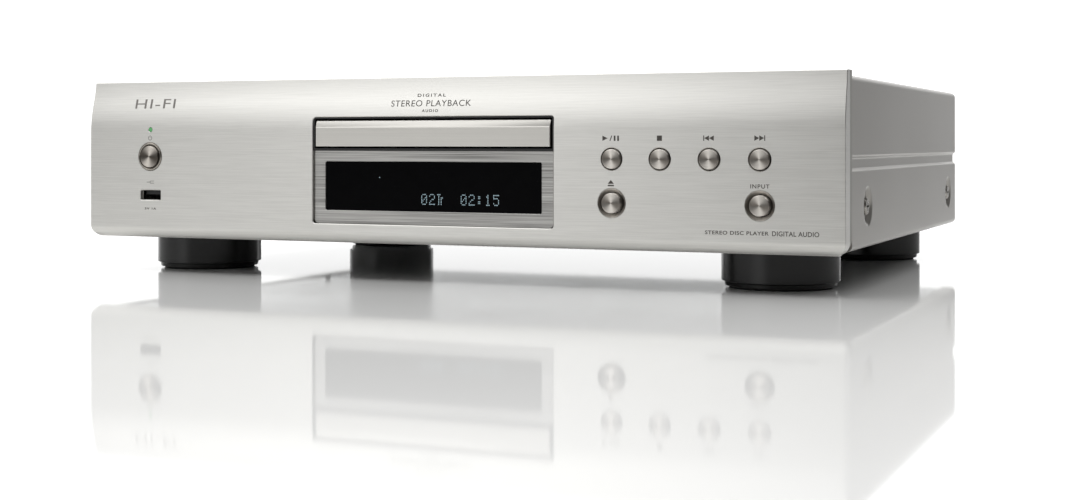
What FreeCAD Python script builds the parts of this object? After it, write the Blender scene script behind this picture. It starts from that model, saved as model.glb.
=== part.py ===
import FreeCAD, Part
import math
import os

# Full-width hi-fi CD player. Millimetres, +Z up, the front faces -Y, +X is to the right seen from the front.
# The origin is on the surface it stands on, under the middle of its bounding box.
V = FreeCAD.Vector
X_AXIS = V(1, 0, 0)
Y_AXIS = V(0, 1, 0)
Z_AXIS = V(0, 0, 1)

# Driving dimensions
WIDTH = 434.0
HEIGHT = 107.0
DEPTH = 328.0
HALF_WIDTH = WIDTH / 2
CAP_PROUD = 1.2                                  # button caps stand this far in front of the panel
FRONT = -DEPTH / 2 + CAP_PROUD                   # flat front of the panel
REAR_TIP = DEPTH / 2                             # ends of the rear terminals

PANEL_THICKNESS = 9.0
PANEL_BACK = FRONT + PANEL_THICKNESS
PANEL_BOTTOM = 19.7
PANEL_CORNER = 6.0                               # lower corners, seen from the front
CURVE_START = 78.0                               # the panel begins to lean back here
CURVE_TURN = 95.0                                # it leans most here, then less up to its top edge
TURN_LEAN = math.radians(15.6)
TOP_LEAN = math.radians(6.5)
LOWER_RADIUS = (CURVE_TURN - CURVE_START) / math.sin(TURN_LEAN)
UPPER_RADIUS = (HEIGHT - CURVE_TURN) / (math.sin(TURN_LEAN) - math.sin(TOP_LEAN))
LIP_HEIGHT = 6.3                                 # rounded lower edge of the panel
LIP_SETBACK = 3.6
LIP_RADIUS = (LIP_HEIGHT ** 2 + LIP_SETBACK ** 2) / (2 * LIP_SETBACK)
FRAME_BACK = PANEL_BACK + 4.5                    # back of the plastic sub-frame

SHEET = 1.0                                      # steel of the cover
COVER_TOP = 104.8
COVER_BOTTOM = 20.9
COVER_REAR = FRONT + 319.1
BEND = 3.0
COVER_CURL = 8.0                                  # the cover's lower edges turn in this far
GROOVE_LOW = 60.0
GROOVE_HIGH = 65.6
GROOVE_DEPTH = 1.5
DISH_RADIUS = 10.0
DISH_DEPTH = 2.0
DISH_HEIGHT = 41.5
DISH_YS = (FRONT + 49.6, FRONT + 291.5)
FLANGE_DROP = 12.0                               # rear flange of the cover
REAR_SCREW_XS = (-180.0, 0.0, 180.0)
REAR_SCREW_Z = 98.5
MAINS_PLATE_X = -132.0                            # the mains plate ends here and the rear panel begins
SOCKET_PLATE_X = 70.0                             # the rear panel ends here and the socket plate begins
PLATE_GAP = 0.3

PLATE = 1.2                                      # steel of the chassis and the rear panel
CHASSIS_HALF = HALF_WIDTH - DISH_DEPTH - SHEET
CHASSIS_Z = COVER_BOTTOM + SHEET
FLOOR_TOP = CHASSIS_Z + PLATE
CHASSIS_WALL_TOP = 56.0
VENT_X = 160.0                                    # two fields of slots in the floor
VENT_HALF = 28.0
VENT_ROWS = 9
VENT_START = -44.0
VENT_PITCH = 11.0
PANEL_Y1 = COVER_REAR - SHEET                    # outer face of the rear panel
PANEL_Y0 = PANEL_Y1 - PLATE

FOOT_X = 172.3
FOOT_Y = 110.5
FOOT_RADIUS = 29.8

WINDOW_HALF = 69.8
WINDOW_LOW = 29.7
WINDOW_HIGH = 86.3
WINDOW_SPLIT = 68.7                              # tray above, display below
DOOR_HALF = 68.0
DOOR_LOW = 70.6
DOOR_HIGH = 84.5
DOOR_CREASE = 80.7
SLOT_CLEAR = 0.9                                 # gap round the tray door

DISPLAY_HALF = 62.75
DISPLAY_LOW = 36.85
DISPLAY_HIGH = 62.8

BUTTONS = {                                      # x, z, cap radius, radius of the hole it slides in
    "power_button": (-175.6, 64.9, 6.0, 6.3),
    "play_button": (101.0, 64.7, 4.85, 5.45),
    "stop_button": (126.0, 64.7, 4.85, 5.45),
    "previous_button": (151.0, 64.7, 4.85, 5.45),
    "next_button": (176.0, 64.7, 4.85, 5.45),
    "eject_button": (101.0, 43.0, 5.0, 5.45),
    "source_button": (176.0, 42.8, 5.0, 5.45),
}
DISHED = ("eject_button", "source_button")
COLLAR = 1.0
COLLAR_EXTRA = 1.9                               # collar radius over cap radius
POWER_RING_RADIUS = 7.75
USB_X = -175.3
USB_Z = 43.4
USB_MOUTH_HALF = 6.7
USB_MOUTH_RISE = 2.75
LED_X = -175.5
LED_Z = 80.0

TRAY_HALF = 65.5
TRAY_LOW = 74.0
TRAY_HIGH = 80.0
TRAY_FRONT = FRONT + 8.2
TRAY_REAR = -10.0
DISC_Y = -84.0                                   # disc centre
WELL_RADIUS = 60.6
WELL_FLOOR = 76.8
SMALL_WELL_RADIUS = 40.6
SMALL_WELL_FLOOR = 75.4
TRAY_SLOT = 19.0
RACK_LOW = 71.0
RACK_X = -60.0
RACK_WIDTH = 3.0
TOOTH_PITCH = 3.0

BASE_HALF = 71.0
BASE_WALL = 3.0
BASE_FRONT = -143.0
BASE_REAR = 28.0
BASE_LOW = 44.0
BASE_FLOOR = 46.0
BASE_TOP = 86.0
PIVOT_Y = 16.0
PIVOT_Z = 57.0
FRAME_HALF = 45.0
FRAME_FRONT = -100.0
FRAME_LOW = 55.0
FRAME_HIGH = 57.5
LIFT_DEGREES = 4.0
ROD_X = 23.0
ROD_Z = 61.0
ROD_RADIUS = 1.5
GEAR_Y = -122.0
GEAR_X = -45.5
PULLEY_X = -22.0
PULLEY_RADIUS = 12.5
MOTOR_PULLEY_RADIUS = 4.5
BELT_Z = 62.4
MOTOR_X = 18.0
MOTOR_Y = -128.0
SLED_MOTOR_X = 35.0
SLED_MOTOR_Y = -62.0
SLED_GEAR_X = 27.2
SLED_GEAR_Y = -40.0
CAM_Y0 = -107.0
CAM_Y1 = -103.0
CAM_TRAVEL = 24.0
PIN_RADIUS = 1.3
PIN_X = 8.0
PIN_Z = 53.0

BOARD = 1.6
BOARD_Z = 31.0
PCB_Y0 = FRAME_BACK + 2.5
CORE_Y = 52.0                                    # transformer fixing screws
CORE_SCREW_XS = (-190.0, -112.0)

RCA_X = 150.0
RCA_ZS = (74.0, 50.0)
COAX_X = 112.0
JACK_Z = 50.0
OPTICAL_X = 86.0
REMOTE_XS = (58.0, 42.0)
INLET_X = -165.0
INLET_Z = 52.0
SHELL_RADIUS = 4.15
COLLAR_RADIUS = 5.8


def box(x0, x1, y0, y1, z0, z1):
    return Part.makeBox(x1 - x0, y1 - y0, z1 - z0, V(x0, y0, z0))


def rod_x(y, z, radius, x0, x1):
    return Part.makeCylinder(radius, x1 - x0, V(x0, y, z), X_AXIS)


def rod_y(x, z, radius, y0, y1):
    return Part.makeCylinder(radius, y1 - y0, V(x, y0, z), Y_AXIS)


def rod_z(x, y, radius, z0, z1):
    return Part.makeCylinder(radius, z1 - z0, V(x, y, z0), Z_AXIS)


def join(shapes):
    return shapes[0].multiFuse(shapes[1:]).removeSplitter()


def cut(shape, tools):
    return shape.cut(tools)


def round_edges(shape, radius, axis, wanted=lambda point: True):
    """Rounds the straight edges that run along the axis and whose middle point is wanted."""
    edges = []
    for edge in shape.Edges:
        if edge.Curve.TypeId != "Part::GeomLine":
            continue
        if abs(edge.Curve.Direction.dot(axis)) > 0.999 and wanted(edge.CenterOfMass):
            edges.append(edge)
    return shape.makeFillet(radius, edges)


def soft_box(x0, x1, y0, y1, z0, z1, radius, axis):
    return round_edges(box(x0, x1, y0, y1, z0, z1), radius, axis)


def lathe(points, base, axis):
    """Turns an outline of (radius, distance along the axis) round the axis through base."""
    wire = Part.makePolygon([V(r, 0, d) for r, d in points + points[:1]])
    solid = Part.Face(wire).revolve(V(0, 0, 0), Z_AXIS, 360)
    solid.Placement = FreeCAD.Placement(base, FreeCAD.Rotation(Z_AXIS, axis))
    return solid


def prism_x(points, x0, x1):
    """Closed outline of (y, z) points, extruded along X."""
    wire = Part.makePolygon([V(x0, y, z) for y, z in points + points[:1]])
    return Part.Face(wire).extrude(V(x1 - x0, 0, 0))


def prism_y(points, y0, y1):
    """Closed outline of (x, z) points, extruded along Y."""
    wire = Part.makePolygon([V(x, y0, z) for x, z in points + points[:1]])
    return Part.Face(wire).extrude(V(0, y1 - y0, 0))


def screw(seat, axis, head_radius, head_height, shaft_radius, length):
    """Cross-head screw. The head stands on the seat along the axis, and the shaft goes the other way."""
    bevel = head_height * 0.4
    outline = [
        (0, -length), (shaft_radius, -length), (shaft_radius, 0), (head_radius, 0),
        (head_radius, head_height - bevel), (head_radius - bevel, head_height), (0, head_height),
    ]
    body = lathe(outline, V(0, 0, 0), Z_AXIS)
    reach = head_radius * 0.55
    blade = head_radius * 0.13
    depth = head_height * 0.55
    body = cut(body, [
        box(-reach, reach, -blade, blade, head_height - depth, head_height + 1),
        box(-blade, blade, -reach, reach, head_height - depth, head_height + 1),
    ])
    body.Placement = FreeCAD.Placement(seat, FreeCAD.Rotation(Z_AXIS, axis))
    return body


def gear(x, y, root_radius, tip_radius, teeth, z0, z1):
    """Spur gear with straight-sided teeth on a vertical axis."""
    points = []
    for tooth in range(teeth):
        for part, radius in ((0.0, root_radius), (0.22, tip_radius), (0.5, tip_radius), (0.72, root_radius)):
            angle = 2 * math.pi * (tooth + part) / teeth
            points.append(V(x + radius * math.cos(angle), y + radius * math.sin(angle), z0))
    return Part.Face(Part.makePolygon(points + points[:1])).extrude(V(0, 0, z1 - z0))


def save(name, shape):
    shape.exportStep("parts/" + name + ".step")


def save_group(name, shapes):
    save(name, Part.makeCompound(shapes))


# ---------------------------------------------------------------- case
def front_panel():
    """Extruded aluminium: flat face, a double curve that leans back to the top, a rounded lower edge."""
    def lower_point(z):
        rise = z - CURVE_START
        return V(0, FRONT + LOWER_RADIUS - math.sqrt(LOWER_RADIUS ** 2 - rise ** 2), z)

    def upper_point(z):
        reach = UPPER_RADIUS * math.sin(TURN_LEAN) - (z - CURVE_TURN)
        gain = math.sqrt(UPPER_RADIUS ** 2 - reach ** 2) - UPPER_RADIUS * math.cos(TURN_LEAN)
        return V(0, lower_point(CURVE_TURN).y + gain, z)

    def lip(drop):
        return LIP_RADIUS - math.sqrt(LIP_RADIUS ** 2 - drop ** 2)

    lip_top = PANEL_BOTTOM + LIP_HEIGHT
    back_low = V(0, PANEL_BACK, PANEL_BOTTOM)
    front_low = V(0, FRONT + LIP_SETBACK, PANEL_BOTTOM)
    lip_mid = V(0, FRONT + lip(LIP_HEIGHT / 2), PANEL_BOTTOM + LIP_HEIGHT / 2)
    face_low = V(0, FRONT, lip_top)
    face_high = lower_point(CURVE_START)
    low_mid = lower_point((CURVE_START + CURVE_TURN) / 2)
    turn = lower_point(CURVE_TURN)
    high_mid = upper_point((CURVE_TURN + HEIGHT) / 2)
    top_front = upper_point(HEIGHT)
    top_back = V(0, PANEL_BACK, HEIGHT)
    outline = Part.Wire([
        Part.LineSegment(back_low, front_low).toShape(),
        Part.Arc(front_low, lip_mid, face_low).toShape(),
        Part.LineSegment(face_low, face_high).toShape(),
        Part.Arc(face_high, low_mid, turn).toShape(),
        Part.Arc(turn, high_mid, top_front).toShape(),
        Part.LineSegment(top_front, top_back).toShape(),
        Part.LineSegment(top_back, back_low).toShape(),
    ])
    bar = Part.Face(outline).extrude(V(WIDTH, 0, 0))
    bar.translate(V(-HALF_WIDTH, 0, 0))
    blank = box(-HALF_WIDTH, HALF_WIDTH, FRONT - 1, PANEL_BACK + 1, PANEL_BOTTOM, HEIGHT)
    blank = round_edges(blank, PANEL_CORNER, Y_AXIS, lambda point: point.z < HEIGHT / 2)
    panel = bar.common(blank)
    holes = [window_hole(FRONT - 1, PANEL_BACK + 1)]
    for name, (x, z, _, hole) in BUTTONS.items():
        holes.append(rod_y(x, z, hole, FRONT - 1, PANEL_BACK + 1))
        if name in DISHED:
            holes.append(Part.makeCone(7.35, 5.45, 2.9, V(x, FRONT - 0.3, z), Y_AXIS))
    x, z, _, _ = BUTTONS["power_button"]
    holes.append(rod_y(x, z, POWER_RING_RADIUS, FRONT - 1, FRONT + 3))
    left = USB_X - USB_MOUTH_HALF
    right = USB_X + USB_MOUTH_HALF
    low = USB_Z - USB_MOUTH_RISE
    high = USB_Z + USB_MOUTH_RISE
    holes.append(soft_box(left, right, FRONT - 1, FRONT + 2.1, low, high, 0.6, Y_AXIS))
    holes.append(box(USB_X - 7.6, USB_X + 7.6, FRONT + 2, PANEL_BACK + 1, USB_Z - 3.9, USB_Z + 3.9))
    holes.append(rod_y(LED_X, LED_Z, 1.2, FRONT - 1, PANEL_BACK + 1))
    return cut(panel, holes)


def window_hole(y0, y1):
    hole = box(-WINDOW_HALF, WINDOW_HALF, y0, y1, WINDOW_LOW, WINDOW_HIGH)
    hole = round_edges(hole, 2.5, Y_AXIS, lambda point: point.z < WINDOW_SPLIT)
    return round_edges(hole, 1.5, Y_AXIS, lambda point: point.z > WINDOW_SPLIT)


def front_subframe():
    """Moulded frame that backs the panel, guides the button collars and holds the display window."""
    plate = box(-HALF_WIDTH, HALF_WIDTH, PANEL_BACK, FRAME_BACK, COVER_BOTTOM, HEIGHT)
    plate = round_edges(plate, PANEL_CORNER, Y_AXIS, lambda point: point.z < HEIGHT / 2)
    plate = cut(plate, [window_hole(PANEL_BACK - 1, FRAME_BACK + 1)])
    ring = box(-WINDOW_HALF, WINDOW_HALF, FRONT + 3.1, PANEL_BACK, WINDOW_LOW, WINDOW_SPLIT)
    ring = round_edges(ring, 2.5, Y_AXIS, lambda point: point.z < HEIGHT / 3)
    ledge = box(-WINDOW_HALF, WINDOW_HALF, PANEL_BACK, FRAME_BACK, WINDOW_LOW, WINDOW_SPLIT)
    ledge = round_edges(ledge, 2.5, Y_AXIS, lambda point: point.z < HEIGHT / 3)
    opening = box(-65.2, 65.2, FRONT, FRAME_BACK + 1, 34.4, 65.2)
    frame = join([plate, cut(ring.fuse(ledge), [opening])])
    holes = []
    for x, z, cap, _ in BUTTONS.values():
        holes.append(rod_y(x, z, cap + COLLAR_EXTRA + 0.5, PANEL_BACK - 1, PANEL_BACK + 2.6))
        holes.append(rod_y(x, z, 2.5, PANEL_BACK, FRAME_BACK + 1))
    holes.append(box(USB_X - 8.2, USB_X + 8.2, PANEL_BACK - 1, FRAME_BACK + 1, USB_Z - 4.5, USB_Z + 4.5))
    holes.append(rod_y(LED_X, LED_Z, 1.2, PANEL_BACK - 1, FRAME_BACK + 1))
    return cut(frame, holes)


def top_cover():
    """One folded steel sheet: top, two sides that curl under, a pressed groove and two screw seats a side."""
    def skin(inset, y0, y1):
        shape = box(-HALF_WIDTH + inset, HALF_WIDTH - inset, y0, y1, COVER_BOTTOM + inset, COVER_TOP - inset)
        return round_edges(shape, BEND - inset, Y_AXIS)

    def groove(side, inset):
        outer = side * (HALF_WIDTH + 0.01) if inset == 0 else side * (HALF_WIDTH - SHEET / 2)
        floor = side * (HALF_WIDTH - GROOVE_DEPTH - inset)
        low = GROOVE_LOW - inset
        high = GROOVE_HIGH + inset
        slope = 0.5
        outline = [(outer, low - slope), (floor, low + slope), (floor, high - slope), (outer, high + slope)]
        return prism_y(outline, FRAME_BACK, COVER_REAR)

    def seat(side, y):
        rim = HALF_WIDTH
        floor = HALF_WIDTH - DISH_DEPTH
        outline = [
            (2.1, floor), (5.6, floor), (DISH_RADIUS - 1.2, rim - 0.35), (DISH_RADIUS, rim),
            (DISH_RADIUS + 0.3, rim), (DISH_RADIUS + 0.3, rim - SHEET),
            (DISH_RADIUS - 0.6, rim - SHEET - 0.3), (5.2, floor - SHEET), (2.1, floor - SHEET),
        ]
        return lathe(outline, V(0, y, DISH_HEIGHT), V(side, 0, 0))

    tube = cut(skin(0, FRAME_BACK, COVER_REAR), [skin(SHEET, FRAME_BACK - 1, COVER_REAR + 1)])
    inner = HALF_WIDTH - COVER_CURL
    under = box(-inner, inner, FRAME_BACK - 1, COVER_REAR + 1, COVER_BOTTOM - 1, CHASSIS_Z + 1)
    body = cut(tube, [under])
    swages = [groove(side, SHEET) for side in (-1, 1)]
    body = cut(join([body] + swages), [groove(side, 0) for side in (-1, 1)])
    seats = []
    wells = []
    for side in (-1, 1):
        for y in DISH_YS:
            start = min(side * (HALF_WIDTH - 4), side * (HALF_WIDTH + 1))
            wells.append(rod_x(y, DISH_HEIGHT, DISH_RADIUS, start, start + 5))
            seats.append(seat(side, y))
    body = join([cut(body, wells)] + seats)
    flange = box(-212, 212, PANEL_Y1, COVER_REAR, COVER_TOP - FLANGE_DROP, COVER_TOP - SHEET / 2)
    holes = [rod_y(x, REAR_SCREW_Z, 1.7, PANEL_Y1 - 1, COVER_REAR + 1) for x in REAR_SCREW_XS]
    return cut(join([body, flange]), holes)


def bottom_chassis():
    """Folded steel pan with side walls behind the cover, a low front flange and ventilation slots."""
    floor = box(-CHASSIS_HALF, CHASSIS_HALF, FRAME_BACK, PANEL_Y0, CHASSIS_Z, FLOOR_TOP)
    walls = [
        box(-CHASSIS_HALF, -CHASSIS_HALF + PLATE, FRAME_BACK, PANEL_Y0, CHASSIS_Z, CHASSIS_WALL_TOP),
        box(CHASSIS_HALF - PLATE, CHASSIS_HALF, FRAME_BACK, PANEL_Y0, CHASSIS_Z, CHASSIS_WALL_TOP),
        box(-CHASSIS_HALF, CHASSIS_HALF, FRAME_BACK, FRAME_BACK + PLATE, CHASSIS_Z, FLOOR_TOP + 7),
    ]
    holes = []
    for side in (-1, 1):
        for y in DISH_YS:
            start = min(side * (CHASSIS_HALF - 3), side * (CHASSIS_HALF + 2))
            holes.append(rod_x(y, DISH_HEIGHT, 1.6, start, start + 5))
        for y in (-FOOT_Y, FOOT_Y):
            holes.append(rod_z(side * FOOT_X, y, 2.3, CHASSIS_Z - 1, FLOOR_TOP + 1))
        left = side * VENT_X - VENT_HALF
        right = side * VENT_X + VENT_HALF
        for row in range(VENT_ROWS):
            y = VENT_START + VENT_PITCH * row
            holes.append(soft_box(left, right, y, y + 3.2, CHASSIS_Z - 1, FLOOR_TOP + 1, 1.5, Z_AXIS))
    holes += [rod_z(x, CORE_Y, 2, CHASSIS_Z - 1, FLOOR_TOP + 1) for x in CORE_SCREW_XS]
    return cut(join([floor] + walls), holes)


def rear_holes():
    """Holes for the cover's screws and every socket, as solids that pass through the three rear plates."""
    start = PANEL_Y0 - 1
    end = PANEL_Y1 + 1
    holes = [rod_y(x, REAR_SCREW_Z, 1.7, start, end) for x in REAR_SCREW_XS]
    holes += [rod_y(RCA_X, z, COLLAR_RADIUS, start, end) for z in RCA_ZS]
    holes.append(rod_y(COAX_X, JACK_Z, COLLAR_RADIUS, start, end))
    holes += [rod_y(x, JACK_Z, 4.0, start, end) for x in REMOTE_XS]
    holes.append(box(OPTICAL_X - 7, OPTICAL_X + 7, start, end, JACK_Z - 7, JACK_Z + 7))
    holes.append(soft_box(INLET_X - 13.7, INLET_X + 13.7, start, end, INLET_Z - 10, INLET_Z + 10, 2, Y_AXIS))
    return holes


def rear_plate(start, end):
    return cut(box(start, end, PANEL_Y0, PANEL_Y1, FLOOR_TOP, COVER_TOP - SHEET), rear_holes())


def foot_places():
    return [(sx * FOOT_X, sy * FOOT_Y) for sx in (-1, 1) for sy in (-1, 1)]


def foot(x, y):
    """Moulded drum foot: a plain cylinder over a bevelled sole, with a counterbore for its screw."""
    sole = FOOT_RADIUS - 1.8
    outline = [
        (2.3, 12), (5.5, 12), (5.5, 2), (26, 2), (26, 1), (sole, 1), (sole + 0.4, 3.1), (FOOT_RADIUS, 3.6),
        (FOOT_RADIUS, CHASSIS_Z), (2.3, CHASSIS_Z),
    ]
    return lathe(outline, V(x, y, 0), Z_AXIS)


def foot_pad(x, y):
    return lathe([(6, 0), (25.6, 0), (26, 0.4), (26, 2), (6, 2)], V(x, y, 0), Z_AXIS)


def make_case():
    save("front_panel", front_panel())
    save("front_subframe", front_subframe())
    save("top_cover", top_cover())
    save("bottom_chassis", bottom_chassis())
    save("mains_plate", rear_plate(-CHASSIS_HALF, MAINS_PLATE_X))
    save("rear_panel", rear_plate(MAINS_PLATE_X + PLATE_GAP, SOCKET_PLATE_X))
    save("socket_plate", rear_plate(SOCKET_PLATE_X + PLATE_GAP, CHASSIS_HALF))
    save_group("feet", [foot(x, y) for x, y in foot_places()])
    save_group("foot_pads", [foot_pad(x, y) for x, y in foot_places()])
    floor = HALF_WIDTH - DISH_DEPTH
    seats = [(V(side * floor, y, DISH_HEIGHT), V(side, 0, 0)) for side in (-1, 1) for y in DISH_YS]
    screws = [screw(seat, axis, 4.3, 1.9, 1.5, 8) for seat, axis in seats]
    backs = [V(x, COVER_REAR, REAR_SCREW_Z) for x in REAR_SCREW_XS]
    screws += [screw(seat, Y_AXIS, 3.4, 1.8, 1.5, 8) for seat in backs]
    save_group("cover_screws", screws)


# ---------------------------------------------------------------- front
def button(x, z, cap, _):
    """Turned cap with a slightly hollow face, a collar behind the panel and a stem for the switch."""
    face = FRONT - CAP_PROUD
    collar = cap + COLLAR_EXTRA
    collar_y = PANEL_BACK + 0.3
    tip = FRAME_BACK - 1.6
    outline = [
        (0, face + 0.15), (cap * 0.7, face + 0.05), (cap - 0.45, face), (cap - 0.12, face + 0.13),
        (cap, face + 0.45), (cap, collar_y), (collar, collar_y), (collar, collar_y + COLLAR),
        (2.0, collar_y + COLLAR), (2.0, tip), (0, tip),
    ]
    return lathe([(r, y - face) for r, y in outline], V(x, face, z), Y_AXIS)


def power_ring():
    x, z, _, hole = BUTTONS["power_button"]
    rim = POWER_RING_RADIUS
    outline = [
        (hole, 1.2), (rim - 0.75, 0.1), (rim - 0.45, 0), (rim - 0.1, 0.15), (rim, 0.5), (rim, 3.5),
        (hole, 3.5),
    ]
    return lathe(outline, V(x, FRONT - 0.5, z), Y_AXIS)


def tray_surround():
    shape = window_hole(FRONT + 1, FRAME_BACK)
    below = box(-WINDOW_HALF - 1, WINDOW_HALF + 1, FRONT, FRAME_BACK + 1, WINDOW_LOW - 1, WINDOW_SPLIT)
    gap = SLOT_CLEAR
    opening = box(-DOOR_HALF - gap, DOOR_HALF + gap, FRONT, FRAME_BACK + 1, DOOR_LOW - gap, DOOR_HIGH + gap)
    return cut(shape, [below, opening])


def display_bezel():
    shape = window_hole(FRONT + 1.6, FRONT + 3.1)
    above = box(-WINDOW_HALF - 1, WINDOW_HALF + 1, FRONT, PANEL_BACK, WINDOW_SPLIT, WINDOW_HIGH + 1)
    half = DISPLAY_HALF
    opening = soft_box(-half, half, FRONT, PANEL_BACK, DISPLAY_LOW, DISPLAY_HIGH, 1.0, Y_AXIS)
    return cut(shape, [above, opening])


def display_window():
    half = DISPLAY_HALF
    pane = soft_box(-half, half, FRONT + 2.1, FRONT + 3.2, DISPLAY_LOW, DISPLAY_HIGH, 1.0, Y_AXIS)
    return join([pane, box(-65, 65, FRONT + 3.1, FRONT + 4.6, 34.6, 65)])


def front_board():
    """One board behind the whole panel, notched for the tray and for the USB socket."""
    board = box(-200, 205, PCB_Y0, PCB_Y0 + BOARD, 27, 92)
    notch = box(-76, 76, PCB_Y0 - 1, PCB_Y0 + BOARD + 1, 66, 93)
    usb = box(USB_X - 8, USB_X + 8, PCB_Y0 - 1, PCB_Y0 + BOARD + 1, USB_Z - 4.2, USB_Z + 4.2)
    return cut(board, [notch, usb])


def tact_switch(x, z):
    can = box(x - 3.1, x + 3.1, PCB_Y0 - 1.9, PCB_Y0, z - 3.1, z + 3.1)
    return join([can, rod_y(x, z, 1.7, PCB_Y0 - 3.2, PCB_Y0 - 1.8)])


def usb_shell():
    outer = box(USB_X - 6.9, USB_X + 6.9, FRONT + 2.1, FRONT + 22, USB_Z - 3.2, USB_Z + 3.2)
    return cut(outer, [box(USB_X - 6.25, USB_X + 6.25, FRONT, FRONT + 23, USB_Z - 2.56, USB_Z + 2.56)])


def usb_tongue():
    tongue = box(USB_X - 5.5, USB_X + 5.5, FRONT + 3.6, FRONT + 14, USB_Z + 0.3, USB_Z + 2.1)
    block = box(USB_X - 6.25, USB_X + 6.25, FRONT + 13, FRONT + 21, USB_Z - 2.56, USB_Z + 2.56)
    return join([tongue, block])


def make_front():
    for name, sizes in BUTTONS.items():
        save(name, button(*sizes))
    save("power_ring", power_ring())
    save("tray_surround", tray_surround())
    save("display_bezel", display_bezel())
    save("display_window", display_window())
    glass = box(-52, 52, FRONT + 5.6, PCB_Y0 - 3, 38, 61.5)
    carrier = box(-56, 56, PCB_Y0 - 3, PCB_Y0, 36, 63.5)
    save_group("display_module", [glass, carrier])
    save("front_pcb", front_board())
    save_group("tact_switches", [tact_switch(x, z) for x, z, _, _ in BUTTONS.values()])
    save("usb_shell", usb_shell())
    save("usb_tongue", usb_tongue())
    guide = rod_y(LED_X, LED_Z, 1.15, FRONT + 0.2, FRAME_BACK)
    lamp = rod_y(LED_X, LED_Z, 1.5, FRAME_BACK, PCB_Y0)
    save("power_led", join([guide, lamp]))


# ---------------------------------------------------------------- disc mechanism
def disc_tray():
    """Moulded tray with wells for both disc sizes, a slot open to the rear and a rack along its left side."""
    plate = box(-TRAY_HALF, TRAY_HALF, TRAY_FRONT, TRAY_REAR, TRAY_LOW, TRAY_HIGH)
    plate = round_edges(plate, 4, Z_AXIS)
    half = RACK_WIDTH / 2
    rack = box(RACK_X - half, RACK_X + half, TRAY_FRONT + 6, TRAY_REAR, RACK_LOW, TRAY_LOW)
    plate = join([plate, rack])
    tools = [
        rod_z(0, DISC_Y, WELL_RADIUS, WELL_FLOOR, TRAY_HIGH + 1),
        rod_z(0, DISC_Y, SMALL_WELL_RADIUS, SMALL_WELL_FLOOR, TRAY_HIGH + 1),
        rod_z(0, DISC_Y, TRAY_SLOT, TRAY_LOW - 1, TRAY_HIGH + 1),
        box(-TRAY_SLOT, TRAY_SLOT, DISC_Y, TRAY_REAR + 1, TRAY_LOW - 4, TRAY_HIGH + 1),
    ]
    tooth = RACK_X + RACK_WIDTH / 2
    count = int((TRAY_REAR - TRAY_FRONT - 8) / TOOTH_PITCH)
    for index in range(count):
        y = TRAY_FRONT + 7 + TOOTH_PITCH * index
        gap = [V(tooth + 0.1, y, RACK_LOW - 1), V(tooth - 1.2, y + 0.5, RACK_LOW - 1)]
        gap += [V(tooth - 1.2, y + 1.1, RACK_LOW - 1), V(tooth + 0.1, y + 1.6, RACK_LOW - 1)]
        tools.append(Part.Face(Part.makePolygon(gap + gap[:1])).extrude(V(0, 0, TRAY_LOW - RACK_LOW + 1)))
    return cut(plate, tools)


def tray_door():
    """Front of the tray: flat face, then above a crease a bevel that leans back with the panel."""
    outline = [
        (TRAY_FRONT, DOOR_LOW), (FRONT + 0.5, DOOR_LOW), (FRONT, DOOR_LOW + 0.5), (FRONT, DOOR_CREASE),
        (FRONT + 1.3, DOOR_HIGH - 0.3), (FRONT + 1.7, DOOR_HIGH), (TRAY_FRONT, DOOR_HIGH),
    ]
    return prism_x(outline, -DOOR_HALF, DOOR_HALF)


def mech_base():
    """Moulded tub on four legs: ledges carry the tray, tabs hold it down, the middle is open below it."""
    inner = BASE_HALF - BASE_WALL
    parts = [box(-BASE_HALF, BASE_HALF, BASE_FRONT, BASE_REAR, BASE_LOW, BASE_FLOOR)]
    parts.append(box(-BASE_HALF, BASE_HALF, BASE_REAR - BASE_WALL, BASE_REAR, BASE_LOW, BASE_TOP))
    for side in (-1, 1):
        wall = sorted((side * inner, side * BASE_HALF))
        parts.append(box(wall[0], wall[1], BASE_FRONT, BASE_REAR, BASE_LOW, BASE_TOP))
        ledge = sorted((side * (TRAY_HALF - 2.2), side * (inner + 0.5)))
        parts.append(box(ledge[0], ledge[1], BASE_FRONT, BASE_REAR, TRAY_LOW - 2.6, TRAY_LOW - 0.1))
        for y in (-136.0, -78.0, -24.0):
            parts.append(box(ledge[0], ledge[1], y, y + 12, TRAY_HIGH + 0.3, TRAY_HIGH + 2))
        for y in (BASE_FRONT + 8, BASE_REAR - 8):
            parts.append(rod_z(side * (BASE_HALF - 6), y, 5, FLOOR_TOP, BASE_LOW + 0.5))
        post = sorted((side * (FRAME_HALF + 0.6), side * (FRAME_HALF + 6)))
        parts.append(box(post[0], post[1], PIVOT_Y - 4, PIVOT_Y + 4, BASE_LOW, PIVOT_Z + 4))
    parts.append(rod_z(GEAR_X, GEAR_Y, 1.5, BASE_LOW, RACK_LOW + 2.4))
    parts.append(rod_z(PULLEY_X, GEAR_Y, 1.5, BASE_LOW, 69.8))
    base = join(parts)
    tools = [
        box(-FRAME_HALF - 3, FRAME_HALF + 3, FRAME_FRONT - 2, PIVOT_Y - 6, BASE_LOW - 1, BASE_FLOOR + 1),
        box(PIN_X - 3.5, PIN_X + 3.5, CAM_Y0 - 2, CAM_Y1 + 2, BASE_LOW - 1, BASE_FLOOR + 1),
    ]
    for side in (-1, 1):
        start = min(side * (FRAME_HALF - 1), side * (FRAME_HALF + 8))
        tools.append(rod_x(PIVOT_Y, PIVOT_Z, 2.05, start, start + 9))
    return cut(base, tools)


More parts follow.
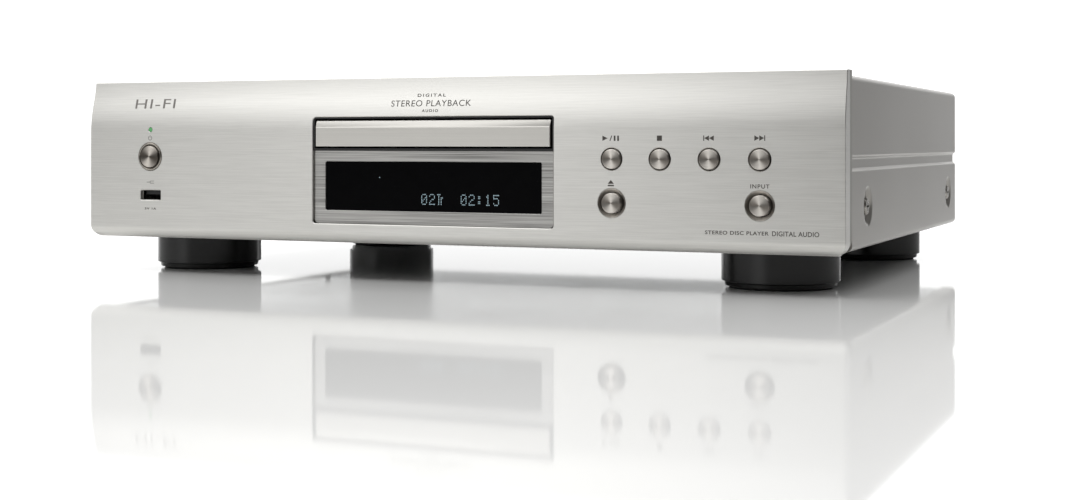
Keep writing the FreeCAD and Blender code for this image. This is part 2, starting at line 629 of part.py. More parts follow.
def traverse_frame():
    """Plate that carries the motor and the rods. It tilts on two rear stub pins; a front pin rides a cam."""
    half = FRAME_HALF
    parts = [
        box(-half, half, FRAME_FRONT, PIVOT_Y + 3, FRAME_LOW, FRAME_HIGH),
        box(-ROD_X - 3, -ROD_X + 3, -70, -65.5, FRAME_LOW, ROD_Z + 3),
        box(ROD_X - 3, ROD_X + 3, -70, -65.5, FRAME_LOW, ROD_Z + 3),
        box(-ROD_X - 3, ROD_X + 3, 6, 10, FRAME_LOW, ROD_Z + 3),
        rod_x(PIVOT_Y, PIVOT_Z, 2, -half - 4, half + 4),
        rod_y(PIN_X, PIN_Z, PIN_RADIUS, FRAME_FRONT - 6.6, FRAME_FRONT + 1),
        box(PIN_X - 2, PIN_X + 2, FRAME_FRONT, FRAME_FRONT + 2.5, 51, FRAME_LOW + 0.5),
    ]
    frame = join(parts)
    tools = [
        box(-18, 16, -66, 4, FRAME_LOW - 1, FRAME_HIGH + 1),
        rod_z(0, DISC_Y, 12, FRAME_LOW - 1, FRAME_HIGH + 1),
        rod_z(SLED_MOTOR_X, SLED_MOTOR_Y, 6, FRAME_LOW - 1, FRAME_HIGH + 1),
        rod_z(SLED_GEAR_X, SLED_GEAR_Y, 0.9, FRAME_LOW - 1, FRAME_HIGH + 1),
    ]
    for side in (-1, 1):
        tools.append(rod_y(side * ROD_X, ROD_Z, ROD_RADIUS, -71, 11))
    return cut(frame, tools)


def spindle_motor():
    outline = [
        (0, 50), (11.4, 50), (12, 50.6), (12, 63.4), (11.4, 64), (3, 64), (3, 65), (1, 65), (1, 71), (0, 71),
    ]
    return lathe(outline, V(0, DISC_Y, 0), Z_AXIS)


def turntable():
    """Disc platform with a soft rim and a centring cone."""
    outline = [
        (1.05, 68), (5, 68), (5, 74.5), (13.4, 75.5), (14, 76), (14, 78), (13.6, 78.4), (7.6, 78.4),
        (7.4, 79.4), (6.2, 81), (3, 81), (3, 72), (1.05, 72),
    ]
    return lathe(outline, V(0, DISC_Y, 0), Z_AXIS)


def pickup_sled():
    """Optical block behind the lens, with bushes on the rods and a short rack for the drive gear."""
    body = soft_box(-17, 16, -69, -36, 59, 70, 2, Z_AXIS)
    tower = rod_z(0, -61, 7.2, 69, 72.5)
    arms = [box(-27, -16, -58, -46, 59, 64.5), box(15, 26, -58, -46, 59, 63.5)]
    rack = box(15.9, 17, -69, -36, 65, 68)
    sled = join([body, tower, rack] + arms)
    tools = [rod_y(side * ROD_X, ROD_Z, ROD_RADIUS + 0.05, -70, -35) for side in (-1, 1)]
    tools.append(rod_z(0, -61, 3.9, 66, 73))
    return cut(sled, tools)


def sled_motor():
    outline = [(0, 0), (6, 0), (6, 14), (2, 14), (2, 15), (0, 15)]
    case = lathe(outline, V(SLED_MOTOR_X, SLED_MOTOR_Y, 50.4), Z_AXIS)
    return join([case, rod_z(SLED_MOTOR_X, SLED_MOTOR_Y, 1, 65, 68.5)])


def sled_gear():
    """Drive gear on its own pin, which turns in the traverse plate."""
    wheel = gear(SLED_GEAR_X, SLED_GEAR_Y, 8.2, 9.7, 24, 65, 68)
    return join([wheel, rod_z(SLED_GEAR_X, SLED_GEAR_Y, 0.85, FRAME_LOW, 65.5)])


def cam_slider():
    """Bar that slides sideways; its sloping slot lifts the traverse by the front pin."""
    drop = CAM_TRAVEL * math.tan(cam_angle())
    bar = box(PIN_X - 44, PIN_X + 8, CAM_Y0, CAM_Y1, BASE_FLOOR + 0.1, 59)
    slope = 0.45 + PIN_RADIUS
    rise = slope / math.cos(cam_angle())
    high = PIN_Z
    low = PIN_Z - drop
    far = PIN_X - CAM_TRAVEL
    outline = [
        (PIN_X + 2.6, high + rise), (PIN_X + 2.6, high - rise), (PIN_X, high - rise), (far, low - rise),
        (far - 2.6, low - rise), (far - 2.6, low + rise), (far, low + rise), (PIN_X, high + rise),
    ]
    return cut(bar, [prism_y(outline, CAM_Y0 - 1, CAM_Y1 + 1)])


def cam_angle():
    reach = PIVOT_Y - (FRAME_FRONT - 5)
    return math.atan(reach * math.sin(math.radians(LIFT_DEGREES)) / CAM_TRAVEL)


def make_mechanism():
    save("disc_tray", disc_tray())
    save("tray_door", tray_door())
    save("mech_base", mech_base())
    bridge = box(-BASE_HALF, BASE_HALF, DISC_Y - 22, DISC_Y + 22, BASE_TOP, BASE_TOP + 2)
    ridge = box(-BASE_HALF + 6, BASE_HALF - 6, DISC_Y + 18, DISC_Y + 22, BASE_TOP + 2, BASE_TOP + 6)
    save("clamper_bridge", cut(join([bridge, ridge]), [rod_z(0, DISC_Y, 13, BASE_TOP - 1, BASE_TOP + 3)]))
    clamp = [
        (0, 82.6), (9, 82.6), (12, 84), (12, 88.4), (16.4, 88.4), (17, 89), (17, 90.4), (16.4, 91), (0, 91),
    ]
    save("disc_clamper", lathe(clamp, V(0, DISC_Y, 0), Z_AXIS))
    save("traverse_frame", traverse_frame())
    save("spindle_motor", spindle_motor())
    save("turntable", turntable())
    save_group("guide_rods", [rod_y(side * ROD_X, ROD_Z, ROD_RADIUS, -70, 10) for side in (-1, 1)])
    save("pickup_sled", pickup_sled())
    lens = [(0, 68), (3.6, 68), (3.6, 72.5), (4.6, 72.5), (4.6, 73.6), (3.2, 74), (2.2, 74.6), (0, 75)]
    save("objective_lens", lathe(lens, V(0, -61, 0), Z_AXIS))
    save("sled_motor", sled_motor())
    save("sled_gear", sled_gear())
    save("cam_slider", cam_slider())
    upper = gear(GEAR_X, GEAR_Y, 11.4, 12.7, 26, 71.2, 73.6)
    lower = gear(GEAR_X, GEAR_Y, 17.6, 18.9, 40, 66.6, 69.4)
    wheel = join([upper, lower, rod_z(GEAR_X, GEAR_Y, 4, 66.6, 73.6)])
    save("loading_gear", cut(wheel, [rod_z(GEAR_X, GEAR_Y, 1.55, 60, 75)]))
    belt_wheel = pulley_wheel(PULLEY_X, GEAR_Y, PULLEY_RADIUS, 61, 65)
    pulley = join([belt_wheel, gear(PULLEY_X, GEAR_Y, 2.9, 4.2, 10, 65, 69.6)])
    save("loading_pulley", cut(pulley, [rod_z(PULLEY_X, GEAR_Y, 1.55, 60, 70)]))
    motor = [(0, 46), (10, 46), (10.6, 46.6), (10.6, 57.4), (10, 58), (3, 58), (3, 59), (0, 59)]
    hollow = [(0, 47), (9.4, 47), (9.4, 57), (1.05, 57), (1.05, 60), (0, 60)]
    place = V(MOTOR_X, MOTOR_Y, 0)
    save("loading_motor", cut(lathe(motor, place, Z_AXIS), [lathe(hollow, place, Z_AXIS)]))
    rotor = [(0, 47.6), (8.8, 47.6), (8.8, 56.2), (1, 56.2), (1, 65.5), (0, 65.5)]
    drive = join([lathe(rotor, place, Z_AXIS), pulley_wheel(MOTOR_X, MOTOR_Y, 4.5, 61, 65)])
    save("motor_pulley", drive)
    save("loading_belt", loading_belt())


def pulley_wheel(x, y, radius, z0, z1):
    """Belt wheel with a V groove."""
    middle = (z0 + z1) / 2
    outline = [
        (0, z0), (radius, z0), (radius, z0 + 0.6), (radius - 1.4, middle), (radius, z1 - 0.6), (radius, z1),
        (0, z1),
    ]
    return lathe(outline, V(x, y, 0), Z_AXIS)


def loading_belt():
    """Square rubber belt round the two pulleys, just clear of them."""
    def loop(extra):
        big = PULLEY_RADIUS + extra
        small = MOTOR_PULLEY_RADIUS + extra
        dx = MOTOR_X - PULLEY_X
        dy = MOTOR_Y - GEAR_Y
        span = math.hypot(dx, dy)
        lean = math.atan2(dy, dx)
        spread = math.acos((big - small) / span)
        ends = []
        for angle in (lean + spread, lean - spread):
            ends.append(V(PULLEY_X + big * math.cos(angle), GEAR_Y + big * math.sin(angle), BELT_Z))
            ends.append(V(MOTOR_X + small * math.cos(angle), MOTOR_Y + small * math.sin(angle), BELT_Z))
        far_small = V(MOTOR_X + small * math.cos(lean), MOTOR_Y + small * math.sin(lean), BELT_Z)
        far_big = V(PULLEY_X - big * math.cos(lean), GEAR_Y - big * math.sin(lean), BELT_Z)
        wire = Part.Wire([
            Part.LineSegment(ends[0], ends[1]).toShape(),
            Part.Arc(ends[1], far_small, ends[3]).toShape(),
            Part.LineSegment(ends[3], ends[2]).toShape(),
            Part.Arc(ends[2], far_big, ends[0]).toShape(),
        ])
        return Part.Face(wire).extrude(V(0, 0, 1.2))

    return cut(loop(1.5), [loop(0.3)])


# ---------------------------------------------------------------- electronics
def transformer():
    """Laminated core with a wound bobbin on its middle leg."""
    front = CORE_Y - 18
    rear = CORE_Y + 18
    low = FLOOR_TOP + 13
    high = FLOOR_TOP + 47
    core = box(-186, -116, front, rear, FLOOR_TOP + 1, FLOOR_TOP + 59)
    windows = [box(x, x + 12, front - 1, rear + 1, low, high) for x in (-174.0, -140.0)]
    bobbin = soft_box(-174, -128, front - 8, rear + 8, low, high, 4, Y_AXIS)
    leg = box(-162, -140, front - 1, rear + 1, low, high)
    feet = [box(x, x + 8, front, rear, FLOOR_TOP, FLOOR_TOP + 1.5) for x in (-194.0, -116.0)]
    base = box(-194, -108, front, rear, FLOOR_TOP, FLOOR_TOP + 1)
    holes = [rod_z(x, CORE_Y, 2, FLOOR_TOP - 1, FLOOR_TOP + 2) for x in CORE_SCREW_XS]
    return [cut(join([cut(core, windows), base] + feet), holes), cut(bobbin, [leg])]


def heat_sink():
    fins = [box(-150 + 6 * index, -148 + 6 * index, -44, -20, BOARD_Z + BOARD, 70) for index in range(9)]
    return join([box(-150, -100, -34, -31, BOARD_Z + BOARD, 70)] + fins)


def capacitor(x, y, radius, height):
    z = BOARD_Z + BOARD
    outline = [
        (0, z), (radius, z), (radius, z + 2.5), (radius - 0.4, z + 3.2), (radius, z + 4),
        (radius, z + height - 0.8), (radius - 0.8, z + height), (0, z + height),
    ]
    return lathe(outline, V(x, y, 0), Z_AXIS)


def flat_cable(x, width, route, thick=0.8):
    """Flat cable: a run of level and upright stretches of (y, z) points, bent over square."""
    pieces = []
    for (y0, z0), (y1, z1) in zip(route, route[1:]):
        pieces.append(box(x, x + width, min(y0, y1), max(y0, y1) + thick, min(z0, z1), max(z0, z1) + thick))
    return join(pieces)


def board_places():
    main = [(x, y) for x in (84.0, 201.0) for y in (-126.0, 10.0, 136.0)]
    power = [(x, y) for x in (-204.0, -90.0) for y in (-126.0, 12.0)]
    return main + power


def spacer(x, y):
    tube = rod_z(x, y, 3, FLOOR_TOP, BOARD_Z)
    return cut(tube, [rod_z(x, y, 1.5, FLOOR_TOP - 1, BOARD_Z + 1)])


def make_electronics():
    holes = [rod_z(x, y, 1.6, BOARD_Z - 1, BOARD_Z + BOARD + 1) for x, y in board_places()]
    top = BOARD_Z + BOARD
    corners = ((100.0, -40.0), (140.0, -60.0), (150.0, 0.0))
    chips = [box(x, x + 14, y, y + 14, top, top + 1.6) for x, y in corners]
    save_group("main_pcb", [cut(box(80, 205, -130, 140, BOARD_Z, top), holes)] + chips)
    save("power_pcb", cut(box(-208, -86, -130, 18, BOARD_Z, top), holes))
    save_group("transformer", transformer())
    save("heat_sink", heat_sink())
    cans = [capacitor(x, y, 9, 34) for x in (-190.0, -168.0) for y in (-100.0, -76.0)]
    cans += [capacitor(x, y, 6.3, 22) for x in (110.0, 132.0, 154.0, 176.0) for y in (40.0, 60.0)]
    save_group("capacitors", cans)
    front = flat_cable(120, 22, [(PCB_Y0 + BOARD, 58), (-134, 58), (-134, top), (-120, top)])
    save("ribbon_cables", front)
    head = V(0, 0, 1)
    screws = [screw(V(x, y, top), head, 2.8, 1.8, 1.4, 6) for x, y in board_places()]
    screws += [screw(V(x, CORE_Y, FLOOR_TOP + 1.5), head, 3.4, 2, 1.8, 5) for x in CORE_SCREW_XS]
    screws += [screw(V(x, y, 12), V(0, 0, -1), 4.4, 2.6, 2.0, 15) for x, y in foot_places()]
    save_group("chassis_screws", screws)
    save_group("spacers", [spacer(x, y) for x, y in board_places()])


# ---------------------------------------------------------------- rear sockets
def phono_jack(x, z):
    """Moulded block, coloured collar and a plated outer shell round an insulated contact."""
    seat = PANEL_Y1 + 1.6
    bore = rod_y(x, z, 3.6, PANEL_Y0 - 1, REAR_TIP + 1)
    shell = cut(rod_y(x, z, SHELL_RADIUS, seat, REAR_TIP), [bore])
    core = cut(rod_y(x, z, 3.6, PANEL_Y0, REAR_TIP - 0.6), [rod_y(x, z, 1.6, PANEL_Y0 + 1, REAR_TIP + 1)])
    collar = cut(rod_y(x, z, COLLAR_RADIUS, PANEL_Y0, seat), [bore])
    return [shell, core, collar]


def optical_housing():
    z = JACK_Z
    outer = box(OPTICAL_X - 7, OPTICAL_X + 7, 141, PANEL_Y1 + 1.2, z - 7, z + 7)
    cavity = box(OPTICAL_X - 5.2, OPTICAL_X + 5.2, 144, PANEL_Y1 + 2, z - 5.2, z + 5.2)
    return cut(outer, [cavity])


def optical_shutter():
    """Flap hinged along its top edge; it swings inward when a plug is pushed in."""
    y = PANEL_Y1
    z = JACK_Z + 4.5
    flap = box(OPTICAL_X - 5, OPTICAL_X + 5, y - 0.5, y + 0.5, JACK_Z - 5, z)
    pins = rod_x(y, z, 0.5, OPTICAL_X - 5, OPTICAL_X + 5)
    return join([flap, pins])


def remote_jack(x):
    z = JACK_Z
    bush = lathe([(1.8, 0), (4, 0), (4, 13.4), (3.4, 14), (1.8, 14)], V(x, PANEL_Y1 + 2 - 14, z), Y_AXIS)
    case = box(x - 6, x + 6, 137, PANEL_Y0, z - 6, z + 6)
    return join([bush, cut(case, [rod_y(x, z, 1.8, 140, PANEL_Y0 + 1)])])


def mains_inlet():
    def block(half_width, half_height, start, end, corner):
        left = INLET_X - half_width
        right = INLET_X + half_width
        return soft_box(left, right, start, end, INLET_Z - half_height, INLET_Z + half_height, corner, Y_AXIS)

    flange = block(15.3, 12, PANEL_Y1, PANEL_Y1 + 2.4, 2.5)
    body = block(13.6, 9.9, 138, PANEL_Y1 + 0.5, 2)
    points = [(-12.1, -8.2), (12.1, -8.2), (12.1, 3.6), (7.6, 8.2), (-7.6, 8.2), (-12.1, 3.6)]
    mouth = prism_y([(INLET_X + x, INLET_Z + z) for x, z in points], 141, PANEL_Y1 + 3)
    shell = cut(join([flange, body]), [mouth])
    pins = [box(INLET_X + x - 1, INLET_X + x + 1, 141, PANEL_Y1 - 1, INLET_Z + z - 2, INLET_Z + z + 2)
            for x, z in ((-7, -2), (7, -2), (0, 3))]
    return [shell] + pins


def make_rear():
    block = box(RCA_X - 10, RCA_X + 10, 138, PANEL_Y0, BOARD_Z + BOARD, 84)
    pair = [block]
    for z in RCA_ZS:
        pair += phono_jack(RCA_X, z)
    save_group("rca_jacks", pair)
    coax_block = box(COAX_X - 7, COAX_X + 7, 141, PANEL_Y0, BOARD_Z + BOARD, JACK_Z + 8)
    save_group("coax_jack", [coax_block] + phono_jack(COAX_X, JACK_Z))
    save("optical_out", optical_housing())
    save("optical_shutter", optical_shutter())
    save_group("remote_jacks", [remote_jack(x) for x in REMOTE_XS])
    save_group("ac_inlet", mains_inlet())


os.makedirs("parts", exist_ok=True)
make_case()
make_front()
make_mechanism()
make_electronics()
make_rear()
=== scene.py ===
import bmesh
import bpy
import math
import numpy as np
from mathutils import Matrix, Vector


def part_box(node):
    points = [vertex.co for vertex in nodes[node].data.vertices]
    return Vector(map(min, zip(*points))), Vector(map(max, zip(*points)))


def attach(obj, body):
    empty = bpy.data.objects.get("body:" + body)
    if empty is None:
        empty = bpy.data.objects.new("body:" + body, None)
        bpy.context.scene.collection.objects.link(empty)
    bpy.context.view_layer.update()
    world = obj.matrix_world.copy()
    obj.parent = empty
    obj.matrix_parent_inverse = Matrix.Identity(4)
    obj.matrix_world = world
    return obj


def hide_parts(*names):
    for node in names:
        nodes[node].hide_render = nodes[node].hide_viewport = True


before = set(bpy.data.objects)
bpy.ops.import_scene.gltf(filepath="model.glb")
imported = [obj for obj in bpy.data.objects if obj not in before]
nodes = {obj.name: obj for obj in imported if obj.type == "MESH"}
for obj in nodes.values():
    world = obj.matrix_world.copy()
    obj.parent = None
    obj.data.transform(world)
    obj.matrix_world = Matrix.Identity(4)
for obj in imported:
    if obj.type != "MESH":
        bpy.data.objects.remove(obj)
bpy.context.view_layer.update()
mm = 0.001  # every piece is worked out in millimetres and scaled once, in makePiece


def nodeBox(name):
    # lowest and highest corner of a CAD node, in millimetres
    low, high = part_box(name)
    return np.array(low) / mm, np.array(high) / mm


panelLow, panelHigh = nodeBox("front_panel")
coverLow, coverHigh = nodeBox("top_cover")
frontY = panelLow[1]

# the camera stands level, in front and to the right; the shift only frames the object
cameraSetup = {
    "place": (379.9, frontY - 729.1, 72.9), "turn": 23.167, "lens": 52.88, "shift": (-0.0089, -0.0997), "near": 0.01,
}


def makeCamera():
    data = bpy.data.cameras.new("studioCamera")
    data.lens = cameraSetup["lens"]
    data.shift_x, data.shift_y = cameraSetup["shift"]
    data.clip_start = cameraSetup["near"]
    camera = bpy.data.objects.new("studioCamera", data)
    camera.location = [value * mm for value in cameraSetup["place"]]
    camera.rotation_euler = (math.radians(90), 0, math.radians(cameraSetup["turn"]))
    bpy.context.scene.collection.objects.link(camera)
    bpy.context.scene.camera = camera


def hexColour(text):
    # sRGB hex to linear red, green, blue, alpha
    channels = np.array([int(text[i:i + 2], 16) for i in (1, 3, 5)]) / 255
    linear = np.where(channels <= 0.04045, channels / 12.92, ((channels + 0.055) / 1.055) ** 2.4)
    return (*linear.tolist(), 1.0)


def addNode(tree, kind, settings=None, inputs=None):
    # a node with its settings, its fixed values and its links
    node = tree.nodes.new(kind)
    for key, value in (settings or {}).items():
        setattr(node, key, value)
    for key, value in (inputs or {}).items():
        if isinstance(value, bpy.types.NodeSocket):
            tree.links.new(value, node.inputs[key])
        else:
            node.inputs[key].default_value = value
    return node


def newMaterial(name, inputs):
    # a Principled material with fixed values; its tree and shader are handed back for the patterns
    material = bpy.data.materials.new(name)
    material.use_nodes = True
    tree = material.node_tree
    shader = tree.nodes["Principled BSDF"]
    for key, value in inputs.items():
        shader.inputs[key].default_value = value
    return material, tree, shader


def makeLight(name, box):
    data = bpy.data.lights.new(name, "AREA")
    data.shape = "RECTANGLE"
    data.size, data.size_y = box["size"]
    data.energy = box["power"]
    light = bpy.data.objects.new(name, data)
    light.location = box["place"]
    x, y, z = np.array(box["aim"]) - np.array(box["place"])
    light.rotation_euler = (math.atan2(math.hypot(x, y), -z), 0, math.atan2(-x, y))
    bpy.context.scene.collection.objects.link(light)


# brightness of the room round the object, and the spans of direction over which each part of it sets in:
# white behind, a room in front that darkens to both sides, a glow over the horizon and a dimmer ceiling
studio = {
    "behind": 1.45, "behindSpan": (0.25, 0.6), "behindEnd": (0.1, 0.24),
    "room": 0.86, "right": 0.1, "rightSpan": (-0.42, -0.14), "left": 0.42, "leftSpan": (-0.8, -0.45),
    "glow": 1.38, "glowSpan": (0.05, 0.42), "ceiling": 0.75, "ceilingSpan": (0.5, 0.9),
}


def makeWorld():
    world = bpy.data.worlds.new("studioRoom")
    world.use_nodes = True
    tree = world.node_tree
    background = tree.nodes["Background"]
    coords = addNode(tree, "ShaderNodeTexCoord")
    direction = addNode(tree, "ShaderNodeSeparateXYZ", inputs={"Vector": coords.outputs["Generated"]})

    def ramp(source, span, first, second):
        node = addNode(tree, "ShaderNodeMapRange", {"interpolation_type": "SMOOTHSTEP"}, {
            "Value": source, "From Min": span[0], "From Max": span[1], "To Min": first, "To Max": second})
        return node.outputs["Result"]

    def times(first, second):
        return addNode(tree, "ShaderNodeMath", {"operation": "MULTIPLY"}, {0: first, 1: second}).outputs["Value"]

    x, y, z = direction.outputs["X"], direction.outputs["Y"], direction.outputs["Z"]
    white = times(ramp(y, studio["behindSpan"], 0, 1), ramp(x, studio["behindEnd"], 1, 0))
    wall = times(ramp(x, studio["rightSpan"], studio["room"], studio["right"]),
                 ramp(x, studio["leftSpan"], studio["left"], 1))
    height = times(ramp(z, studio["glowSpan"], 1, studio["glow"]),
                   ramp(z, studio["ceilingSpan"], 1, studio["ceiling"]))
    room = times(wall, height)
    level = addNode(tree, "ShaderNodeMix", {"data_type": "FLOAT"}, {0: white, 2: room, 3: studio["behind"]})
    tree.links.new(level.outputs[0], background.inputs["Strength"])
    background.inputs["Color"].default_value = (1, 1, 1, 1)
    bpy.context.scene.world = world


# pale polished floor, wide enough to reach the white behind it; its haze drifts over half a metre
floorShape = {"half": 30.0, "colour": "#ebebea", "ior": 1.32, "rough": (0.04, 0.06), "drift": 0.5}
# soft boxes, in metres and watts
softBoxes = {
    "softTop": {"place": (0.0, -0.2, 1.7), "aim": 0, "size": (4.4, 2.0), "power": 49},
    "softFront": {"place": (-1.2, -2.6, 1.5), "aim": (0, -0.1, 0.08), "size": (2.2, 1.6), "power": 7},
}


def makeStage():
    half = floorShape["half"]
    mesh = bpy.data.meshes.new("studioFloor")
    corners = [(-half, -half, 0), (half, -half, 0), (half, half, 0), (-half, half, 0)]
    mesh.from_pydata(corners, [], [(0, 1, 2, 3)])
    floor = bpy.data.objects.new("studioFloor", mesh)
    bpy.context.scene.collection.objects.link(floor)
    material, tree, shader = newMaterial("polishedFloor", {
        "Base Color": hexColour(floorShape["colour"]), "IOR": floorShape["ior"]})
    coords = addNode(tree, "ShaderNodeTexCoord")
    haze = addNode(tree, "ShaderNodeTexNoise", inputs={
        "Vector": coords.outputs["Object"], "Scale": 1 / floorShape["drift"]})
    rough = addNode(tree, "ShaderNodeMapRange", inputs={
        "Value": haze.outputs["Fac"], "To Min": floorShape["rough"][0], "To Max": floorShape["rough"][1]})
    tree.links.new(rough.outputs["Result"], shader.inputs["Roughness"])
    mesh.materials.append(material)
    for name, box in softBoxes.items():
        makeLight(name, box)
    bpy.context.scene.view_settings.view_transform = "Standard"


makeWorld()
makeCamera()
makeStage()
print("stage ready")

weld = 1e-6  # metres: points closer than this are one point

def gridFaces(rows, columns, closedRows=False, closedColumns=False):
    # four corners of every cell between neighbouring points of a grid stored row by row
    i = np.arange(rows if closedRows else rows - 1)[:, None]
    j = np.arange(columns if closedColumns else columns - 1)[None, :]
    nextI = (i + 1) % rows
    nextJ = (j + 1) % columns
    cells = [i * columns + j, i * columns + nextJ, nextI * columns + nextJ, nextI * columns + j]
    return np.stack(np.broadcast_arrays(*cells), axis=-1).reshape(-1, 4)


def makePiece(name, points, faces, body, material, replaced=(), sharpAngle=35, uv=None, printed=False):
    # mesh from points in millimetres: doubles are merged, faces turned outwards and edges over sharpAngle kept crisp.
    # Printed pieces are open sheets on the front, so their faces are all turned to the front
    mesh = bpy.data.meshes.new(name)
    faceList = faces.tolist() if isinstance(faces, np.ndarray) else [list(face) for face in faces]
    mesh.from_pydata((np.asarray(points, float) * mm).tolist(), [], faceList)
    if uv is not None:
        layer = mesh.uv_layers.new(name="UVMap")
        corners = np.empty(len(mesh.loops), int)
        mesh.loops.foreach_get("vertex_index", corners)
        layer.data.foreach_set("uv", np.asarray(uv, float)[corners].ravel())
    work = bmesh.new()
    work.from_mesh(mesh)
    bmesh.ops.remove_doubles(work, verts=work.verts, dist=weld)
    bmesh.ops.dissolve_degenerate(work, edges=work.edges, dist=weld / 10)
    bmesh.ops.recalc_face_normals(work, faces=work.faces)
    if printed:
        bmesh.ops.reverse_faces(work, faces=[face for face in work.faces if face.normal.y > 0])
    work.to_mesh(mesh)
    work.free()
    mesh.polygons.foreach_set("use_smooth", np.ones(len(mesh.polygons), bool))
    mesh.set_sharp_from_angle(angle=math.radians(sharpAngle))
    mesh.materials.append(material)
    piece = bpy.data.objects.new(name, mesh)
    bpy.context.scene.collection.objects.link(piece)
    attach(piece, body)
    if replaced:
        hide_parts(*replaced)
    return piece


def lathePoints(outline, base, axis, steps=96):
    # outline of (radius, distance) turned round the Y or Z axis through base; rows follow the outline
    outline = np.asarray(outline, float)
    angle = np.linspace(0, 2 * np.pi, steps, endpoint=False)
    across = outline[:, :1] * np.cos(angle)
    up = outline[:, :1] * np.sin(angle)
    along = np.repeat(outline[:, 1:], steps, axis=1)
    order = (across, along, up) if axis == "y" else (across, up, along)
    points = np.stack(order, axis=-1).reshape(-1, 3) + np.asarray(base, float)
    return points, gridFaces(len(outline), steps, closedColumns=True)


def roundCorners(outline, radii, steps=5, hold=0.15):
    # replaces each corner of an open outline by an arc; a point hold away from each end keeps the straights flat
    outline = np.asarray(outline, float)
    t = np.linspace(0, 1, steps)[:, None]
    made = [outline[:1]]
    for before, corner, after, radius in zip(outline[:-2], outline[1:-1], outline[2:], radii):
        back = (before - corner) / np.linalg.norm(before - corner)
        ahead = (after - corner) / np.linalg.norm(after - corner)
        start, end = corner + back * radius, corner + ahead * radius
        bend = (1 - t) ** 2 * start + 2 * t * (1 - t) * corner + t ** 2 * end
        made += [(start + back * hold)[None], bend, (end + ahead * hold)[None]]
    made.append(outline[-1:])
    return np.concatenate(made)


def joinMeshes(parts):
    # several (points, faces) sets as one
    points = np.concatenate([part[0] for part in parts])
    starts = np.cumsum([0] + [len(part[0]) for part in parts[:-1]])
    faces = []
    for part, start in zip(parts, starts):
        listed = part[1].tolist() if isinstance(part[1], np.ndarray) else part[1]
        faces += [[index + int(start) for index in face] for face in listed]
    return points, faces

snap = 1e-4  # millimetres: grid lines closer than this are one line


def holeOutline(hole, grow, xs, zs, steps):
    # closed outline of a hole with rounded corners, grown on all sides; its straight sides carry the grid's own lines
    x0, x1, z0, z1, radius = hole
    angle = np.linspace(0, np.pi / 2, steps)
    corners = []
    for cx, cz, start in ((x1, z1, 0), (x0, z1, 1), (x0, z0, 2), (x1, z0, 3)):
        turned = angle + start * np.pi / 2
        middleX = cx - radius * np.sign(cx - (x0 + x1) / 2)
        middleZ = cz - radius * np.sign(cz - (z0 + z1) / 2)
        arcX = middleX + (radius + grow) * np.cos(turned)
        arcZ = middleZ + (radius + grow) * np.sin(turned)
        corners.append(np.stack([arcX, arcZ], -1))
    tight = snap / 100
    insideX = xs[(xs > x0 + radius + tight) & (xs < x1 - radius - tight)]
    insideZ = zs[(zs > z0 + radius + tight) & (zs < z1 - radius - tight)]
    top = np.stack([insideX[::-1], np.full(len(insideX), z1 + grow)], -1)
    left = np.stack([np.full(len(insideZ), x0 - grow), insideZ[::-1]], -1)
    bottom = np.stack([insideX, np.full(len(insideX), z0 - grow)], -1)
    right = np.stack([np.full(len(insideZ), x1 + grow), insideZ], -1)
    return np.concatenate([corners[0], top, corners[1], left, corners[2], bottom, corners[3], right]), corners


def gridLines(lines, spans, radii, edge):
    # the plate's own lines, those along each hole's bevel, and those where its corner arcs start and end
    own = [[low - edge, high + edge, low + radius, high - radius] for (low, high), radius in zip(spans, radii)]
    return np.unique(np.round(np.concatenate([lines] + own), 5))


def between(lines, first, last):
    # the lines that lie between two values, in the order from first to last
    inside = lines[(lines > min(first, last) + snap) & (lines < max(first, last) - snap)]
    return inside if last > first else inside[::-1]


def cornerFill(arc, point, xs, zs):
    # the face between a hole's corner arc and the grid's own corner outside it
    path = arc if abs(arc[0][0] - point[0]) < snap else arc[::-1]
    upright = between(zs, point[1], path[0][1])
    level = between(xs, path[-1][0], point[0])
    side = np.stack([np.full(len(upright), point[0]), upright], -1)
    foot = np.stack([level, np.full(len(level), point[1])], -1)
    return np.concatenate([[point], side, path, foot])


